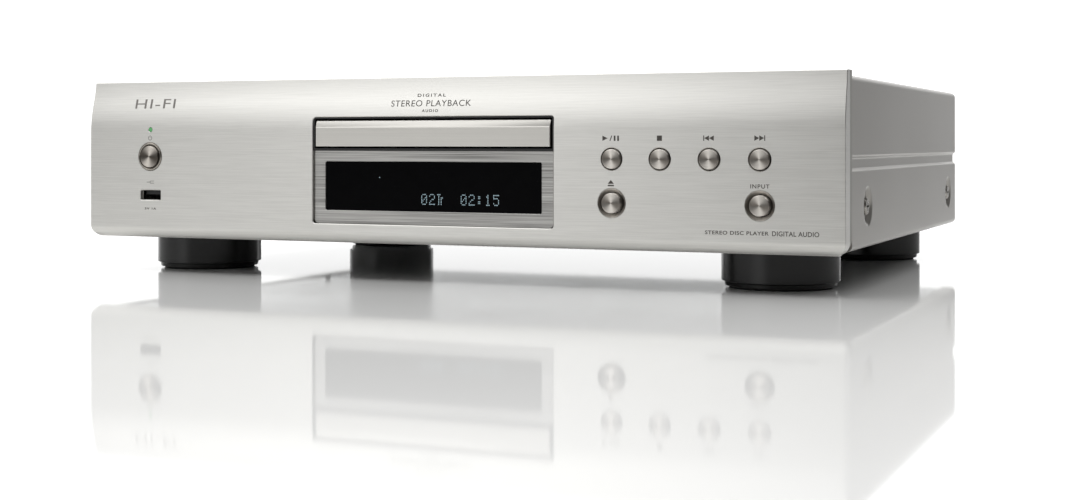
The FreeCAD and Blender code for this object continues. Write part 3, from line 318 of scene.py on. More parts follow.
def holedPlate(xs, zs, holes, depthOf, back, edge, halfOf, steps=13):
    # a plate seen from the front: a grid of x and z lines whose cells inside a hole are left out and whose hole
    # corners are filled by one face each. depthOf(z) is the front's y and halfOf(z) half the width; outer and hole
    # edges are bevelled by edge
    radii = [hole[4] for hole in holes]
    xs = gridLines(xs, [hole[:2] for hole in holes], radii, edge)
    zs = gridLines(zs, [hole[2:4] for hole in holes], radii, edge)
    cornerX = np.stack([xs[:-1], xs[1:], xs[1:], xs[:-1]], -1)
    cornerZ = np.stack([zs[:-1], zs[:-1], zs[1:], zs[1:]], -1)
    cells = np.stack(np.broadcast_arrays(cornerX[:, None, :], cornerZ[None, :, :]), -1).reshape(-1, 4, 2)
    middleX, middleZ = cells.mean(1).T
    kept = np.ones(len(cells), bool)
    fills = []
    loops = []
    for hole in holes:
        x0, x1, z0, z1 = hole[0] - edge, hole[1] + edge, hole[2] - edge, hole[3] + edge
        kept &= ~((middleX > x0) & (middleX < x1) & (middleZ > z0) & (middleZ < z1))
        wide, arcs = holeOutline(hole, edge, xs, zs, steps)
        narrow, _ = holeOutline(hole, 0, xs, zs, steps)
        loops.append((wide, narrow))
        for arc, point in zip(arcs, ((x1, z1), (x0, z1), (x0, z0), (x1, z0))):
            fills.append(cornerFill(arc, point, xs, zs))
    quads = cells[kept]

    def lift(flat, layer):
        # flat (x, z) points to 3-D; the outermost columns follow the plate's outline
        x, z = flat[:, 0].copy(), flat[:, 1]
        outer = np.abs(x) > xs[-1] - snap
        x[outer] = np.sign(x[outer]) * halfOf(z[outer])
        y = depthOf(z) if layer == "front" else np.full(len(z), back)
        return np.stack([x, y, z], -1)

    shapes = [4] * len(quads) + [len(fill) for fill in fills]
    flat = np.concatenate([quads.reshape(-1, 2)] + fills)
    faces = [list(range(end - size, end)) for size, end in zip(shapes, np.cumsum(shapes))]
    parts = [(lift(flat, "front"), faces), (lift(flat, "back"), faces)]
    for wide, narrow in loops:
        rim = lift(narrow, "front") + [0, edge, 0]
        rows = [lift(wide, "front"), rim, lift(narrow, "back"), lift(wide, "back")]
        parts.append((np.concatenate(rows), gridFaces(4, len(wide), closedColumns=True)))
    # round the outside: along the bottom, up the right, back along the top, down the left
    bottom = np.stack([xs, np.full(len(xs), zs[0])], -1)
    right = np.stack([np.full(len(zs) - 1, xs[-1]), zs[1:]], -1)
    top = np.stack([xs[::-1][1:], np.full(len(xs) - 1, zs[-1])], -1)
    left = np.stack([np.full(len(zs) - 2, xs[0]), zs[::-1][1:-1]], -1)
    border = np.concatenate([bottom, right, top, left])
    inner = lift(border, "front")
    outer = inner + [0, edge, 0]
    atSide = np.abs(border[:, 0]) > xs[-1] - snap
    outer[atSide, 0] += edge * np.sign(outer[atSide, 0])
    outer[border[:, 1] > zs[-1] - snap, 2] += edge
    outer[border[:, 1] < zs[0] + snap, 2] -= edge
    rear = outer.copy()
    rear[:, 1] = back
    rows = [inner, outer, rear, lift(border, "back")]
    parts.append((np.concatenate(rows), gridFaces(4, len(border), closedColumns=True)))
    return joinMeshes(parts)


def mix(tree, kind, factor, first, second):
    # blend of two colours or two values
    data = {"colour": ("RGBA", 6, 7, 2), "value": ("FLOAT", 2, 3, 0)}[kind]
    node = addNode(tree, "ShaderNodeMix", {"data_type": data[0]}, {0: factor, data[1]: first, data[2]: second})
    return node.outputs[data[3]]


turnSpan = 6.0  # u of a turned piece runs from 0 to this round the axis
paintedFanTurn = 2 * math.tau / turnSpan  # two painted shade fans to a turn
paintedFanStart = math.radians(30)
paintedFanSpan = {"From Min": -0.9, "From Max": 1.0}  # how far round each painted shade fan reaches, on the cosine that draws it
noiseSpan = {"From Min": 0.34, "From Max": 0.66}  # where most of the noise lies, stretched to the full range
bumpStrength = 0.3


def makeLook(name, look):
    # one procedural finish. grain is the size in mm of its finest pattern and cloud that of the slow drift in tone,
    # as one number or along X, Y and Z; colours are where the pattern is low and high, rough the roughness there,
    # relief the depth in mm
    turned = look.get("turned", False)
    material, tree, shader = newMaterial(name, {
        "Metallic": look.get("metal", 0.0), "Anisotropic": look.get("stretch", 0.0),
        "Coat Weight": look.get("coat", 0.0), "Coat Roughness": 0.04, "Specular IOR Level": look.get("shine", 0.5)})
    coords = addNode(tree, "ShaderNodeTexCoord")
    source = coords.outputs["UV" if turned else "Object"]

    def pattern(size, detail, roughness):
        scale = 1 / (np.broadcast_to(size, 3) * (1.0 if turned else mm))
        place = addNode(tree, "ShaderNodeMapping", inputs={"Vector": source, "Scale": scale.tolist()})
        return addNode(tree, "ShaderNodeTexNoise", inputs={
            "Vector": place.outputs["Vector"], "Scale": 1.0, "Detail": detail, "Roughness": roughness}).outputs["Fac"]

    lines = pattern(look["grain"], 3.0, 0.6)
    clouds = pattern(look["cloud"], 2.0, 0.5)
    both = mix(tree, "value", look.get("drift", 0.35), lines, clouds)
    spread = addNode(tree, "ShaderNodeMapRange", inputs={"Value": both, **noiseSpan}).outputs["Result"]
    tone = mix(tree, "colour", spread, hexColour(look["colours"][0]), hexColour(look["colours"][1]))
    if "paintedFanShade" in look:
        # painted shade: two opposite darker fans about the axis, set into the colour where the lathe marks would turn
        # away from the light
        around = addNode(tree, "ShaderNodeSeparateXYZ", inputs={"Vector": source}).outputs["X"]
        angle = addNode(tree, "ShaderNodeMath", {"operation": "MULTIPLY_ADD"}, {0: around, 1: paintedFanTurn, 2: paintedFanStart})
        swing = addNode(tree, "ShaderNodeMath", {"operation": "COSINE"}, {0: angle.outputs["Value"]})
        shade = addNode(tree, "ShaderNodeMapRange", inputs={"Value": swing.outputs["Value"], **paintedFanSpan})
        tone = mix(tree, "colour", shade.outputs["Result"], tone, hexColour(look["paintedFanShade"]))
    tree.links.new(tone, shader.inputs["Base Color"])
    rough = mix(tree, "value", spread, look["rough"][0], look["rough"][1])
    tree.links.new(rough, shader.inputs["Roughness"])
    relief = addNode(tree, "ShaderNodeBump", inputs={
        "Height": lines, "Strength": bumpStrength, "Distance": look["relief"] * mm})
    tree.links.new(relief.outputs["Normal"], shader.inputs["Normal"])
    if "glow" in look:
        tree.links.new(tone, shader.inputs["Emission Color"])
        shader.inputs["Emission Strength"].default_value = look["glow"]
    if turned:
        grain = addNode(tree, "ShaderNodeTangent", {"direction_type": "UV_MAP", "uv_map": "UVMap"})
        tree.links.new(grain.outputs["Tangent"], shader.inputs["Tangent"])
        shader.inputs["Anisotropic Rotation"].default_value = 0.25
    elif look.get("stretch"):
        grain = addNode(tree, "ShaderNodeCombineXYZ", inputs={"Z": 1.0})
        tree.links.new(grain.outputs["Vector"], shader.inputs["Tangent"])
    return material


# level brushing under clear anodising: warm silver, highlights pulled upright, faint streaks drawn coarser than the
# real grit so that they show
panelMetal = makeLook("brushedAnodisedAluminium", {
    "colours": ("#c8c7c3", "#d4d3cf"), "rough": (0.28, 0.33), "grain": (22, 22, 0.36), "cloud": (300, 300, 6.0),
    "relief": 0.007, "metal": 1.0, "stretch": 0.6, "drift": 0.2})
# the same brushing left coarser on the display's frame
bezelMetal = makeLook("coarseBrushedAluminium", {
    "colours": ("#706f6d", "#bdbcb9"), "rough": (0.28, 0.4), "grain": (70, 70, 0.55), "cloud": (200, 200, 1.8),
    "relief": 0.03, "metal": 1.0, "stretch": 0.6, "drift": 0.25})
# satin door, more even and a little darker than the panel
doorMetal = makeLook("satinDoorAluminium", {
    "colours": ("#bebcb7", "#c8c6c1"), "rough": (0.28, 0.34), "grain": (60, 60, 0.25), "cloud": (300, 300, 4.0),
    "relief": 0.01, "metal": 1.0, "stretch": 0.5})
# turned caps: rings round the axis, drawn coarser than lathe marks, so light fans out from the centre; two darker fans
# of painted shade are added to the colour
turnedMetal = makeLook("turnedAluminium", {
    "colours": ("#d2cdc6", "#dfdad3"), "rough": (0.38, 0.46), "grain": (40, 0.03, 1), "cloud": (40, 0.3, 1),
    "relief": 0.004, "metal": 1.0, "stretch": 1.0, "turned": True, "paintedFanShade": "#8d8780"})
# the power cap is polished further: darker, with sharper fans and a deeper painted shade in them
polishedCap = makeLook("polishedTurnedAluminium", {
    "colours": ("#bab4ac", "#c8c2ba"), "rough": (0.32, 0.4), "grain": (40, 0.03, 1), "cloud": (40, 0.3, 1),
    "relief": 0.004, "metal": 1.0, "stretch": 1.0, "turned": True, "paintedFanShade": "#5c5650"})
# polished ring: near-mirror, only a breath of haze
ringMetal = makeLook("polishedRingChrome", {
    "colours": ("#8f8a83", "#9e9992"), "rough": (0.08, 0.13), "grain": 0.3, "cloud": 5,
    "relief": 0.002, "metal": 1.0})
# satin paint on folded steel: fine orange peel and a soft sheen
coverPaint = makeLook("satinCoverPaint", {
    "colours": ("#989590", "#9b9893"), "rough": (0.28, 0.32), "grain": 0.5, "cloud": 60,
    "relief": 0.004, "metal": 0.75, "coat": 0.04})

# the panel's swept section, its lower corners, and its holes: window (low x, high x, low z, high z), port (width,
# height, corner), and the radius of each round one
panelShape = {
    "edge": 0.35, "flatTop": 78.0, "turn": 95.0, "turnLean": 15.6, "topLean": 6.5, "lip": 6.3, "lipSetback": 3.6,
    "corner": 6.0, "window": (-69.8, 69.8, 29.7, 86.3), "windowCorner": 1.6, "port": (13.4, 5.5, 0.6),
    "buttonHole": 5.45, "dishHole": 7.15, "powerHole": 7.75, "lampHole": 1.2, "lipRows": 15, "curveRows": 41,
}
buttonNames = ["play_button", "stop_button", "previous_button", "next_button"]
dishedNames = ["eject_button", "source_button"]


def panelFront(z):
    # flat to flatTop, an arc that leans back to turnLean at turn, an arc that eases to topLean, and a rounded lip
    turn, lip, setback = panelShape["turn"], panelShape["lip"], panelShape["lipSetback"]
    lean, top = math.radians(panelShape["turnLean"]), math.radians(panelShape["topLean"])
    lowerRadius = (turn - panelShape["flatTop"]) / math.sin(lean)
    upperRadius = (panelHigh[2] - turn) / (math.sin(lean) - math.sin(top))
    rise = np.clip(z, panelShape["flatTop"], turn) - panelShape["flatTop"]
    reach = upperRadius * math.sin(lean) - np.clip(z - turn, 0, None)
    lower = lowerRadius - np.sqrt(lowerRadius ** 2 - rise ** 2)
    upper = np.sqrt(upperRadius ** 2 - reach ** 2) - upperRadius * math.cos(lean)
    lipRadius = (lip ** 2 + setback ** 2) / (2 * setback)
    drop = np.clip(panelLow[2] + lip - z, 0, lip)
    return frontY + (lower + upper) + lipRadius - np.sqrt(lipRadius ** 2 - drop ** 2)


def panelHalf(z):
    # half the width at each height; the lower corners are quarter circles
    radius = panelShape["corner"]
    down = np.clip(panelLow[2] + radius - z, 0, radius)
    return panelHigh[0] - panelShape["edge"] - (radius - np.sqrt(radius ** 2 - down ** 2))


def roundHole(name, radius):
    # hole centred on a round CAD node
    centre = sum(nodeBox(name)) / 2
    return (centre[0] - radius, centre[0] + radius, centre[2] - radius, centre[2] + radius, radius)


def makeFrontPanel():
    edge = panelShape["edge"]
    low, high, half = panelLow[2] + edge, panelHigh[2] - edge, panelHigh[0] - edge
    lipRows = panelLow[2] + panelShape["lip"] * (1 - np.cos(np.linspace(0, np.pi / 2, panelShape["lipRows"])))
    curveRows = np.linspace(panelShape["flatTop"], high, panelShape["curveRows"])
    zs = np.concatenate([[low, high], lipRows[lipRows > low], curveRows])
    portX, _, portZ = sum(nodeBox("usb_shell")) / 2
    width, height, corner = panelShape["port"]
    holes = [(*panelShape["window"], panelShape["windowCorner"]),
             (portX - width / 2, portX + width / 2, portZ - height / 2, portZ + height / 2, corner)]
    holes += [roundHole(name, panelShape["buttonHole"]) for name in buttonNames]
    holes += [roundHole(name, panelShape["dishHole"]) for name in dishedNames]
    holes += [roundHole("power_button", panelShape["powerHole"]), roundHole("power_led", panelShape["lampHole"])]
    points, faces = holedPlate(np.array([-half, half]), zs, holes, panelFront, panelHigh[1], edge, panelHalf)
    makePiece("frontPanel", points, faces, "root", panelMetal, ["front_panel"])


makeFrontPanel()
print("front panel made")

# folded sheet: its bends, the groove pressed along each side, the dishes round the screws and the lap at the back.
# Rows are the heights at which the side has points: fine over the dishes and the groove, wide above them
coverShape = {
    "sheet": 1.0, "bend": 3.0, "curl": 8.0,
    "grooveLow": 60.0, "grooveHigh": 65.6, "grooveDepth": 1.5, "grooveWall": 2.0, "grooveEase": 1.2,
    "dishes": (-113.2, 128.7), "dishHeight": 41.5, "dishRadius": 10.0, "dishWall": 3.6, "dishDepth": 2.0,
    "dishRows": (29, 54.1, 0.6), "grooveRows": (56, 69, 0.35), "wallRows": (72, 98, 6),
    "lap": 92.8, "lapInset": 5.0, "lapDepth": 1.0, "lapCorner": 3.0,
}


def smoothStep(t):
    t = np.clip(t, 0, 1)
    return t * t * (3 - 2 * t)


def coverSection(inset):
    # half of the folded sheet as (x, z), from the lower curl up the right side to the middle of the top
    half, top, low = coverHigh[0] - inset, coverHigh[2] - inset, coverLow[2] + inset
    bend = coverShape["bend"] - inset
    turn = np.linspace(0, np.pi / 2, 9)
    lowerBend = np.stack([half - bend + bend * np.sin(turn), low + bend - bend * np.cos(turn)], -1)
    upperBend = np.stack([half - bend + bend * np.cos(turn), top - bend + bend * np.sin(turn)], -1)
    heights = np.concatenate([np.arange(*coverShape["dishRows"]), np.arange(*coverShape["grooveRows"]),
                              np.linspace(*coverShape["wallRows"])])
    ease, wall = coverShape["grooveEase"], coverShape["grooveWall"]
    depth = smoothStep((heights - coverShape["grooveLow"] + ease) / wall)
    depth = depth * smoothStep((coverShape["grooveHigh"] + ease - heights) / wall)
    side = np.stack([half - coverShape["grooveDepth"] * depth, heights], -1)
    start = [[coverHigh[0] - coverShape["curl"], low]]
    across = np.linspace(half - bend, 0, 12)[1:]
    flat = np.stack([across, np.full(len(across), top)], -1)
    return np.concatenate([start, lowerBend, side, upperBend, flat])


def makeTopCover():
    # both skins of the sheet as one closed tube of sections; the dishes are pressed in by distance from their centres
    ys = [np.linspace(coverLow[1], coverHigh[1], 24)]
    ys += [np.arange(y - 12, y + 12.1, 0.6) for y in coverShape["dishes"]]
    ys = np.unique(np.round(np.concatenate(ys), 3))
    sections = []
    for inset in (0, coverShape["sheet"]):
        right = coverSection(inset)
        left = right[:-1][::-1] * [-1, 1]
        sections.append(np.concatenate([right, left]))
    loop = np.concatenate([sections[0], sections[1][::-1]])
    x = np.repeat(loop[None, :, 0], len(ys), axis=0)
    z = np.repeat(loop[None, :, 1], len(ys), axis=0)
    y = np.repeat(ys[:, None], len(loop), axis=1)
    for centre in coverShape["dishes"]:
        away = np.hypot(y - centre, z - coverShape["dishHeight"])
        press = smoothStep((coverShape["dishRadius"] - away) / coverShape["dishWall"])
        onSide = np.abs(x) > coverHigh[0] - coverShape["curl"]
        x = x - np.sign(x) * coverShape["dishDepth"] * press * onSide
    points = np.stack([x, y, z], -1).reshape(-1, 3)
    wall = gridFaces(len(ys), len(loop), closedColumns=True)
    count = len(sections[0])
    j = np.arange(count - 1)
    cap = np.stack([j, j + 1, 2 * count - 2 - j, 2 * count - 1 - j], -1)
    faces = np.concatenate([wall, cap, cap[:, ::-1] + (len(ys) - 1) * len(loop)])
    return points, faces


def roundedBox(low, high, radius, edge=0.0, steps=6):
    # a closed block whose four corners round the Y axis are arcs and whose front and back are bevelled by edge
    radii = np.broadcast_to(radius, 4)
    turn = np.linspace(0, np.pi / 2, steps)
    least = 1e-3  # millimetres, the smallest corner radius

    def ring(shrink, y):
        corners = []
        for index, (sx, sz) in enumerate(((1, 1), (-1, 1), (-1, -1), (1, -1))):
            size = max(radii[index], least)
            angle = turn + index * np.pi / 2
            cx = (high[0] if sx > 0 else low[0]) - sx * size
            cz = (high[2] if sz > 0 else low[2]) - sz * size
            inner = max(size - shrink, least)
            pull = size - shrink - inner
            x = cx + inner * np.cos(angle) + sx * pull
            corners.append(np.stack([x, np.full(steps, y), cz + inner * np.sin(angle) + sz * pull], -1))
        return np.concatenate(corners)

    levels = [(0, low[1]), (0, high[1])]
    if edge:
        levels = [(edge, low[1]), (0, low[1] + edge), (0, high[1] - edge), (edge, high[1])]
    rows = [ring(shrink, y) for shrink, y in levels]
    size = len(rows[0])
    last = (len(rows) - 1) * size
    faces = gridFaces(len(rows), size, closedColumns=True).tolist()
    faces += [list(range(size)), list(range(last + size - 1, last - 1, -1))]
    return np.concatenate(rows), faces


def makeCover():
    half, corner = coverHigh[0] - coverShape["lapInset"], coverShape["lapCorner"]
    low = (-half, coverHigh[1] - coverShape["lapDepth"], coverShape["lap"])
    high = (half, coverHigh[1] - 0.02, coverHigh[2] - 0.4)  # just inside the sheet's own edge and top
    points, faces = joinMeshes([makeTopCover(), roundedBox(low, high, [0, 0, corner, corner])])
    makePiece("topCover", points, faces, "root", coverPaint, ["top_cover"], 40)


makeCover()
print("cover made")

# caps are slightly domed, with a rounded rim and a flange behind the panel
buttonShape = {"flange": 1.9, "flangeGap": 0.3, "flangeThick": 1.0, "bore": 2.0, "dome": 0.12}
# the polished ring is a band with a rounded front
ringShape = {"band": 1.45, "depth": 3.5}
# the recess round the two larger buttons narrows from its mouth to the cap
dishShape = {"mouth": 7.14, "lip": 6.95, "throat": 5.46, "throatDepth": 2.9}


def makeTurned(name, outline, base, body, material, replaced, steps=128, sharp=30):
    # a turned part; its UV runs round the axis and along the outline, so the finish can follow the lathe
    outline = np.asarray(outline, float)
    columns = steps + 1
    angle = np.linspace(0, 2 * np.pi, columns)
    radius, along = outline[:, :1], outline[:, 1:]
    points = np.stack([radius * np.cos(angle), np.repeat(along, columns, 1), radius * np.sin(angle)], -1)
    travel = np.concatenate([[0], np.cumsum(np.hypot(*np.diff(outline, axis=0).T))])
    u = np.repeat(np.linspace(0, turnSpan, columns)[None, :], len(outline), 0)
    v = np.repeat(travel[:, None] / 10, columns, 1)
    uv = np.stack([u, v], -1).reshape(-1, 2)
    faces = gridFaces(len(outline), columns)
    return makePiece(name, points.reshape(-1, 3) + base, faces, body, material, replaced, sharp, uv)


def makeButtons():
    flange, bore, dome = buttonShape["flange"], buttonShape["bore"], buttonShape["dome"]
    for name in buttonNames + dishedNames + ["power_button"]:
        low, high = nodeBox(name)
        centre = (low + high) / 2
        cap = (high[0] - low[0]) / 2 - flange
        depth = high[1] - low[1]
        collar = panelHigh[1] + buttonShape["flangeGap"] - low[1]
        rear = collar + buttonShape["flangeThick"]
        outline = [(0, dome), (cap * 0.4, 0.1), (cap * 0.75, 0.04), (cap - 0.6, 0.0), (cap - 0.35, 0.02),
                   (cap - 0.15, 0.1), (cap - 0.04, 0.24), (cap, 0.45), (cap, collar), (cap + flange, collar),
                   (cap + flange, rear), (bore, rear), (bore, depth), (0, depth)]
        material = polishedCap if name == "power_button" else turnedMetal
        base = (centre[0], low[1], centre[2])
        makeTurned(name.replace("_button", "Button"), outline, base, name, material, [name])


def makePowerRing():
    low, high = nodeBox("power_ring")
    centre = (low + high) / 2
    rim, depth = (high[0] - low[0]) / 2, ringShape["depth"]
    hole = rim - ringShape["band"]
    outline = [(hole, depth), (hole, 1.0), (hole + 0.25, 0.55), (rim - 0.9, 0.1), (rim - 0.55, 0.0), (rim - 0.2, 0.08),
               (rim - 0.04, 0.28), (rim, 0.5), (rim, depth), (hole, depth)]
    base = (centre[0], low[1], centre[2])
    makeTurned("powerRing", outline, base, "root", ringMetal, ["power_ring"], sharp=50)


def makeDishes():
    # a turned cone, closed by a wall behind it
    mouth, lip, throat, back = dishShape["mouth"], dishShape["lip"], dishShape["throat"], panelHigh[1] - frontY
    depth = dishShape["throatDepth"]
    outline = [(mouth, 0.05), (lip, 0.12), (throat + 0.04, depth - 0.3), (throat, depth), (throat, back),
               (mouth, back), (mouth, 0.05)]
    for name in dishedNames:
        centre = sum(nodeBox(name)) / 2
        makeTurned(name.replace("_button", "Dish"), outline, (centre[0], frontY, centre[2]),
                   "root", turnedMetal, [])


makeButtons()
makePowerRing()
makeDishes()

# frame of the display: its opening (low x, high x, low z, high z, corner), rounded lower corners and bevel
bezelShape = {"opening": (-62.75, 62.75, 36.85, 62.8, 1.0), "corner": 2.5, "edge": 0.25}
# tray door: heights of its section, how far its top leans back, and the rounding of its three front edges
doorShape = {
    "low": 70.6, "crease": 80.7, "high": 84.5, "half": 68.0, "lean": 1.5, "round": (0.7, 0.35, 0.6), "bevel": 0.3,
}


def makeBezel():
    low, high = nodeBox("display_bezel")
    corner, edge = bezelShape["corner"], bezelShape["edge"]
    zs = np.concatenate([low[2] + edge + corner * (1 - np.cos(np.linspace(0, np.pi / 2, 8))), [high[2] - edge]])

    def half(z):
        down = np.clip(low[2] + edge + corner - z, 0, corner)
        return high[0] - edge - corner + np.sqrt(corner ** 2 - down ** 2)

    xs = np.array([low[0] + edge, high[0] - edge])
    opening = [bezelShape["opening"]]
    points, faces = holedPlate(xs, zs, opening, lambda z: np.full(len(z), low[1]), high[1], edge, half)
    makePiece("displayBezel", points, faces, "root", bezelMetal, ["display_bezel"])


def makeDoor():
    # section (y, z) of the door, rounded at its edges, run along X and bevelled at both ends
    low, high = nodeBox("tray_door")
    front, back = low[1], high[1]
    half, bevel = doorShape["half"], doorShape["bevel"]
    corners = [(back, doorShape["low"]), (front, doorShape["low"]), (front, doorShape["crease"]),
               (front + doorShape["lean"], doorShape["high"]), (back, doorShape["high"])]
    section = roundCorners(corners, doorShape["round"], 7)
    ends = []
    for x, inset in ((-half, bevel), (-half + bevel, 0), (half - bevel, 0), (half, bevel)):
        flat = np.clip(section, section.min(0) + inset, section.max(0) - inset)
        ends.append(np.column_stack([np.full(len(flat), x), flat]))
    size = len(section)
    faces = gridFaces(4, size, closedColumns=True).tolist()
    faces += [list(range(size)), list(range(4 * size - 1, 3 * size - 1, -1))]
    makePiece("trayDoor", np.concatenate(ends), faces, "tray", doorMetal, ["tray_door"], 18)


makeBezel()
makeDoor()
print("front details made")

# moulded foot: its section as (radius, height), from the screw well round the pad's recess and up the outside
footShape = {
    "section": [(2.3, 12), (5.5, 12), (5.5, 2), (26, 2), (26, 1), (27.6, 1), (28.0, 1.3), (28.2, 3.0), (28.5, 3.3),
                (29.5, 3.5), (29.8, 3.8), (29.8, 21.4), (29.4, 21.9), (2.3, 21.9), (2.3, 12)],
    "x": 172.3, "y": 110.5,
}
# glossy moulded plastic: deep black with a clear reflection and faint flow marks
footPlastic = makeLook("glossBlackMoulding", {
    "colours": ("#0b0b0b", "#111110"), "rough": (0.2, 0.26), "grain": 3, "cloud": (30, 30, 8), "relief": 0.01})


def makeFeet():
    parts = []
    for x in (-footShape["x"], footShape["x"]):
        for y in (-footShape["y"], footShape["y"]):
            parts.append(lathePoints(footShape["section"], (x, y, 0), "z", 160))
    points, faces = joinMeshes(parts)
    makePiece("mouldedFeet", points, faces, "root", footPlastic, ["feet"])


makeFeet()
print("feet made")

# screen print: matt warm grey ink with a slightly uneven edge of density
printInk = makeLook("greyPanelInk", {
    "colours": ("#3a3632", "#4b4641"), "rough": (0.5, 0.6), "grain": 0.3, "cloud": 4, "relief": 0.004})
# the name is a lighter grey than the legends
paleInk = makeLook("paleGreyPanelInk", {
    "colours": ("#75726e", "#86827e"), "rough": (0.4, 0.5), "grain": 0.3, "cloud": 4, "relief": 0.004})
# fluorescent display dots: cool blue-white light
displayDots = makeLook("litDisplayDots", {
    "colours": ("#8199a3", "#9db3bb"), "rough": (0.4, 0.5), "grain": 0.6, "cloud": 20, "relief": 0.001, "glow": 0.7})


# printing: how proud of the panel it stands, the height of the strips it is cut into where the front is swept, and
# how much the thin letters are thickened. A line of letters is text, size, left, right, baseline and letter spacing
printShape = {
    "proud": 0.03, "strip": 0.8, "small": 4.0, "thicken": 0.05, "thickenLarge": 0.01,
    "name": ("HI-FI", 7.6, -187.0, -160.0, 91.9, 1.1),
    "legends": (
        ("DIGITAL", 2.2, -8.0, 8.4, 96.6, 1.4), ("STEREO PLAYBACK", 4.6, -23.0, 23.4, 91.6, 1.1),
        ("AUDIO", 2.0, -4.6, 4.8, 88.6, 1.4), ("INPUT", 2.7, 171.4, 180.8, 51.1, 1.2),
        ("STEREO DISC PLAYER", 2.5, 149.0, 180.4, 28.9, 1.1), ("DIGITAL AUDIO", 3.2, 182.0, 204.6, 28.7, 1.05),
        ("5V 1A", 1.5, -179.2, -171.4, 35.3, 1.2),
    ),
    "signs": (73.6, 76.2),
}


def printPiece(name, work):
    # flat outlines in (x, z) mm, cut into narrow level strips so that they follow the swept front
    heights = [vertex.co.z for vertex in work.verts]
    for height in np.arange(max(min(heights), panelShape["flatTop"]), max(heights), printShape["strip"]):
        everything = work.verts[:] + work.edges[:] + work.faces[:]
        bmesh.ops.bisect_plane(work, geom=everything, plane_co=(0, 0, height), plane_no=(0, 0, 1), dist=1e-5)
    mesh = bpy.data.meshes.new(name)
    work.to_mesh(mesh)
    work.free()
    points = np.empty(len(mesh.vertices) * 3)
    mesh.vertices.foreach_get("co", points)
    points = points.reshape(-1, 3)
    points[:, 1] = panelFront(points[:, 2]) - printShape["proud"]
    faces = [list(polygon.vertices) for polygon in mesh.polygons]
    bpy.data.meshes.remove(mesh)
    return points, faces


def letters(text, size, left, right, low, spacing):
    # a line of plain letters fitted between left and right, standing on low
    curve = bpy.data.curves.new("line", "FONT")
    curve.body = text
    curve.size = size
    curve.space_character = spacing
    curve.offset = printShape["thicken" if size < printShape["small"] else "thickenLarge"]
    source = bpy.data.objects.new("line", curve)
    bpy.context.scene.collection.objects.link(source)
    bpy.context.view_layer.update()
    mesh = bpy.data.meshes.new_from_object(source.evaluated_get(bpy.context.evaluated_depsgraph_get()))
    bpy.data.objects.remove(source)
    bpy.data.curves.remove(curve)
    flat = np.empty(len(mesh.vertices) * 3)
    mesh.vertices.foreach_get("co", flat)
    flat = flat.reshape(-1, 3)
    span = flat[:, 0].max() - flat[:, 0].min()
    x = left + (flat[:, 0] - flat[:, 0].min()) * (right - left) / span
    mesh.vertices.foreach_set("co", np.stack([x, np.zeros(len(x)), low + flat[:, 1]], -1).ravel())
    work = bmesh.new()
    work.from_mesh(mesh)
    bpy.data.meshes.remove(mesh)
    return work


def outlines(shapes):
    # closed outlines of (x, z) points as faces
    work = bmesh.new()
    for shape in shapes:
        work.faces.new([work.verts.new((x, 0, z)) for x, z in shape])
    return work


def bar(x0, x1, z0, z1):
    return [(x0, z0), (x1, z0), (x1, z1), (x0, z1)]


def arrow(x0, x1, z0, z1):
    return [(x0, z0), (x1, (z0 + z1) / 2), (x0, z1)]


def arc(x, z, radius, width, start, end, steps=24):
    # part of a flat ring
    angle = np.radians(np.linspace(start, end, steps))
    outer = np.stack([x + radius * np.cos(angle), z + radius * np.sin(angle)], -1)
    inner = np.stack([x + (radius - width) * np.cos(angle), z + (radius - width) * np.sin(angle)], -1)
    return [[tuple(outer[i]), tuple(outer[i + 1]), tuple(inner[i + 1]), tuple(inner[i])] for i in range(steps - 1)]


def transportSigns():
    # play and pause, stop, previous, next and eject, above their buttons
    z0, z1 = printShape["signs"]
    middle = (z0 + z1) / 2
    slash = [(99.9, z0), (100.4, z0), (101.4, z1), (100.9, z1)]
    play = [arrow(96.2, 99.0, z0, z1), slash, bar(102.2, 103.1, z0, z1), bar(104.0, 104.9, z0, z1)]
    stop = [bar(124.6, 127.2, z0, z1)]
    back = [[(tip + 2.4, z0), (tip + 2.4, z1), (tip, middle)] for tip in (148.6, 151.0)]
    ahead = [arrow(tip - 2.4, tip, z0, z1) for tip in (175.8, 178.2)]
    eject = [[(99.0, 52.5), (102.3, 52.5), (100.65, 54.4)], bar(99.0, 102.3, 51.3, 52.0)]
    return play + stop + [bar(148.1, 148.6, z0, z1)] + back + ahead + [bar(178.2, 178.7, z0, z1)] + eject


def standbyAndPortSigns():
    # a broken ring with a stroke above the power button, and a forked line above the port
    ring = arc(-175.6, 75.3, 1.3, 0.28, 125, 415)
    fork = [bar(-177.9, -175.4, 50.5, 50.75), bar(-175.4, -172.9, 49.9, 50.15), bar(-175.4, -172.9, 51.1, 51.35),
            bar(-175.65, -175.4, 49.9, 51.35)]
    return ring + [bar(-175.74, -175.46, 75.5, 76.9)] + fork


def makePrinting():
    points, faces = printPiece("name", letters(*printShape["name"]))
    makePiece("namePrinting", points, faces, "root", paleInk, printed=True)
    lines = [letters(*legend) for legend in printShape["legends"]]
    lines.append(outlines(transportSigns() + standbyAndPortSigns()))
    points, faces = joinMeshes([printPiece("line", work) for work in lines])
    makePiece("panelPrinting", points, faces, "root", printInk, printed=True)


# dot-matrix signs, seven rows of five dots
dotRows = {
    "0": ("01110", "10001", "10011", "10101", "11001", "10001", "01110"),
    "1": ("00100", "01100", "00100", "00100", "00100", "00100", "01110"),
    "2": ("01110", "10001", "00001", "00110", "01000", "10000", "11111"),
    "5": ("11111", "10000", "11110", "00001", "00001", "10001", "01110"),
    ":": ("00000", "01100", "01100", "00000", "01100", "01100", "00000"),
    "t": ("11100", "01000", "01011", "01010", "01010", "01010", "01010"),
}
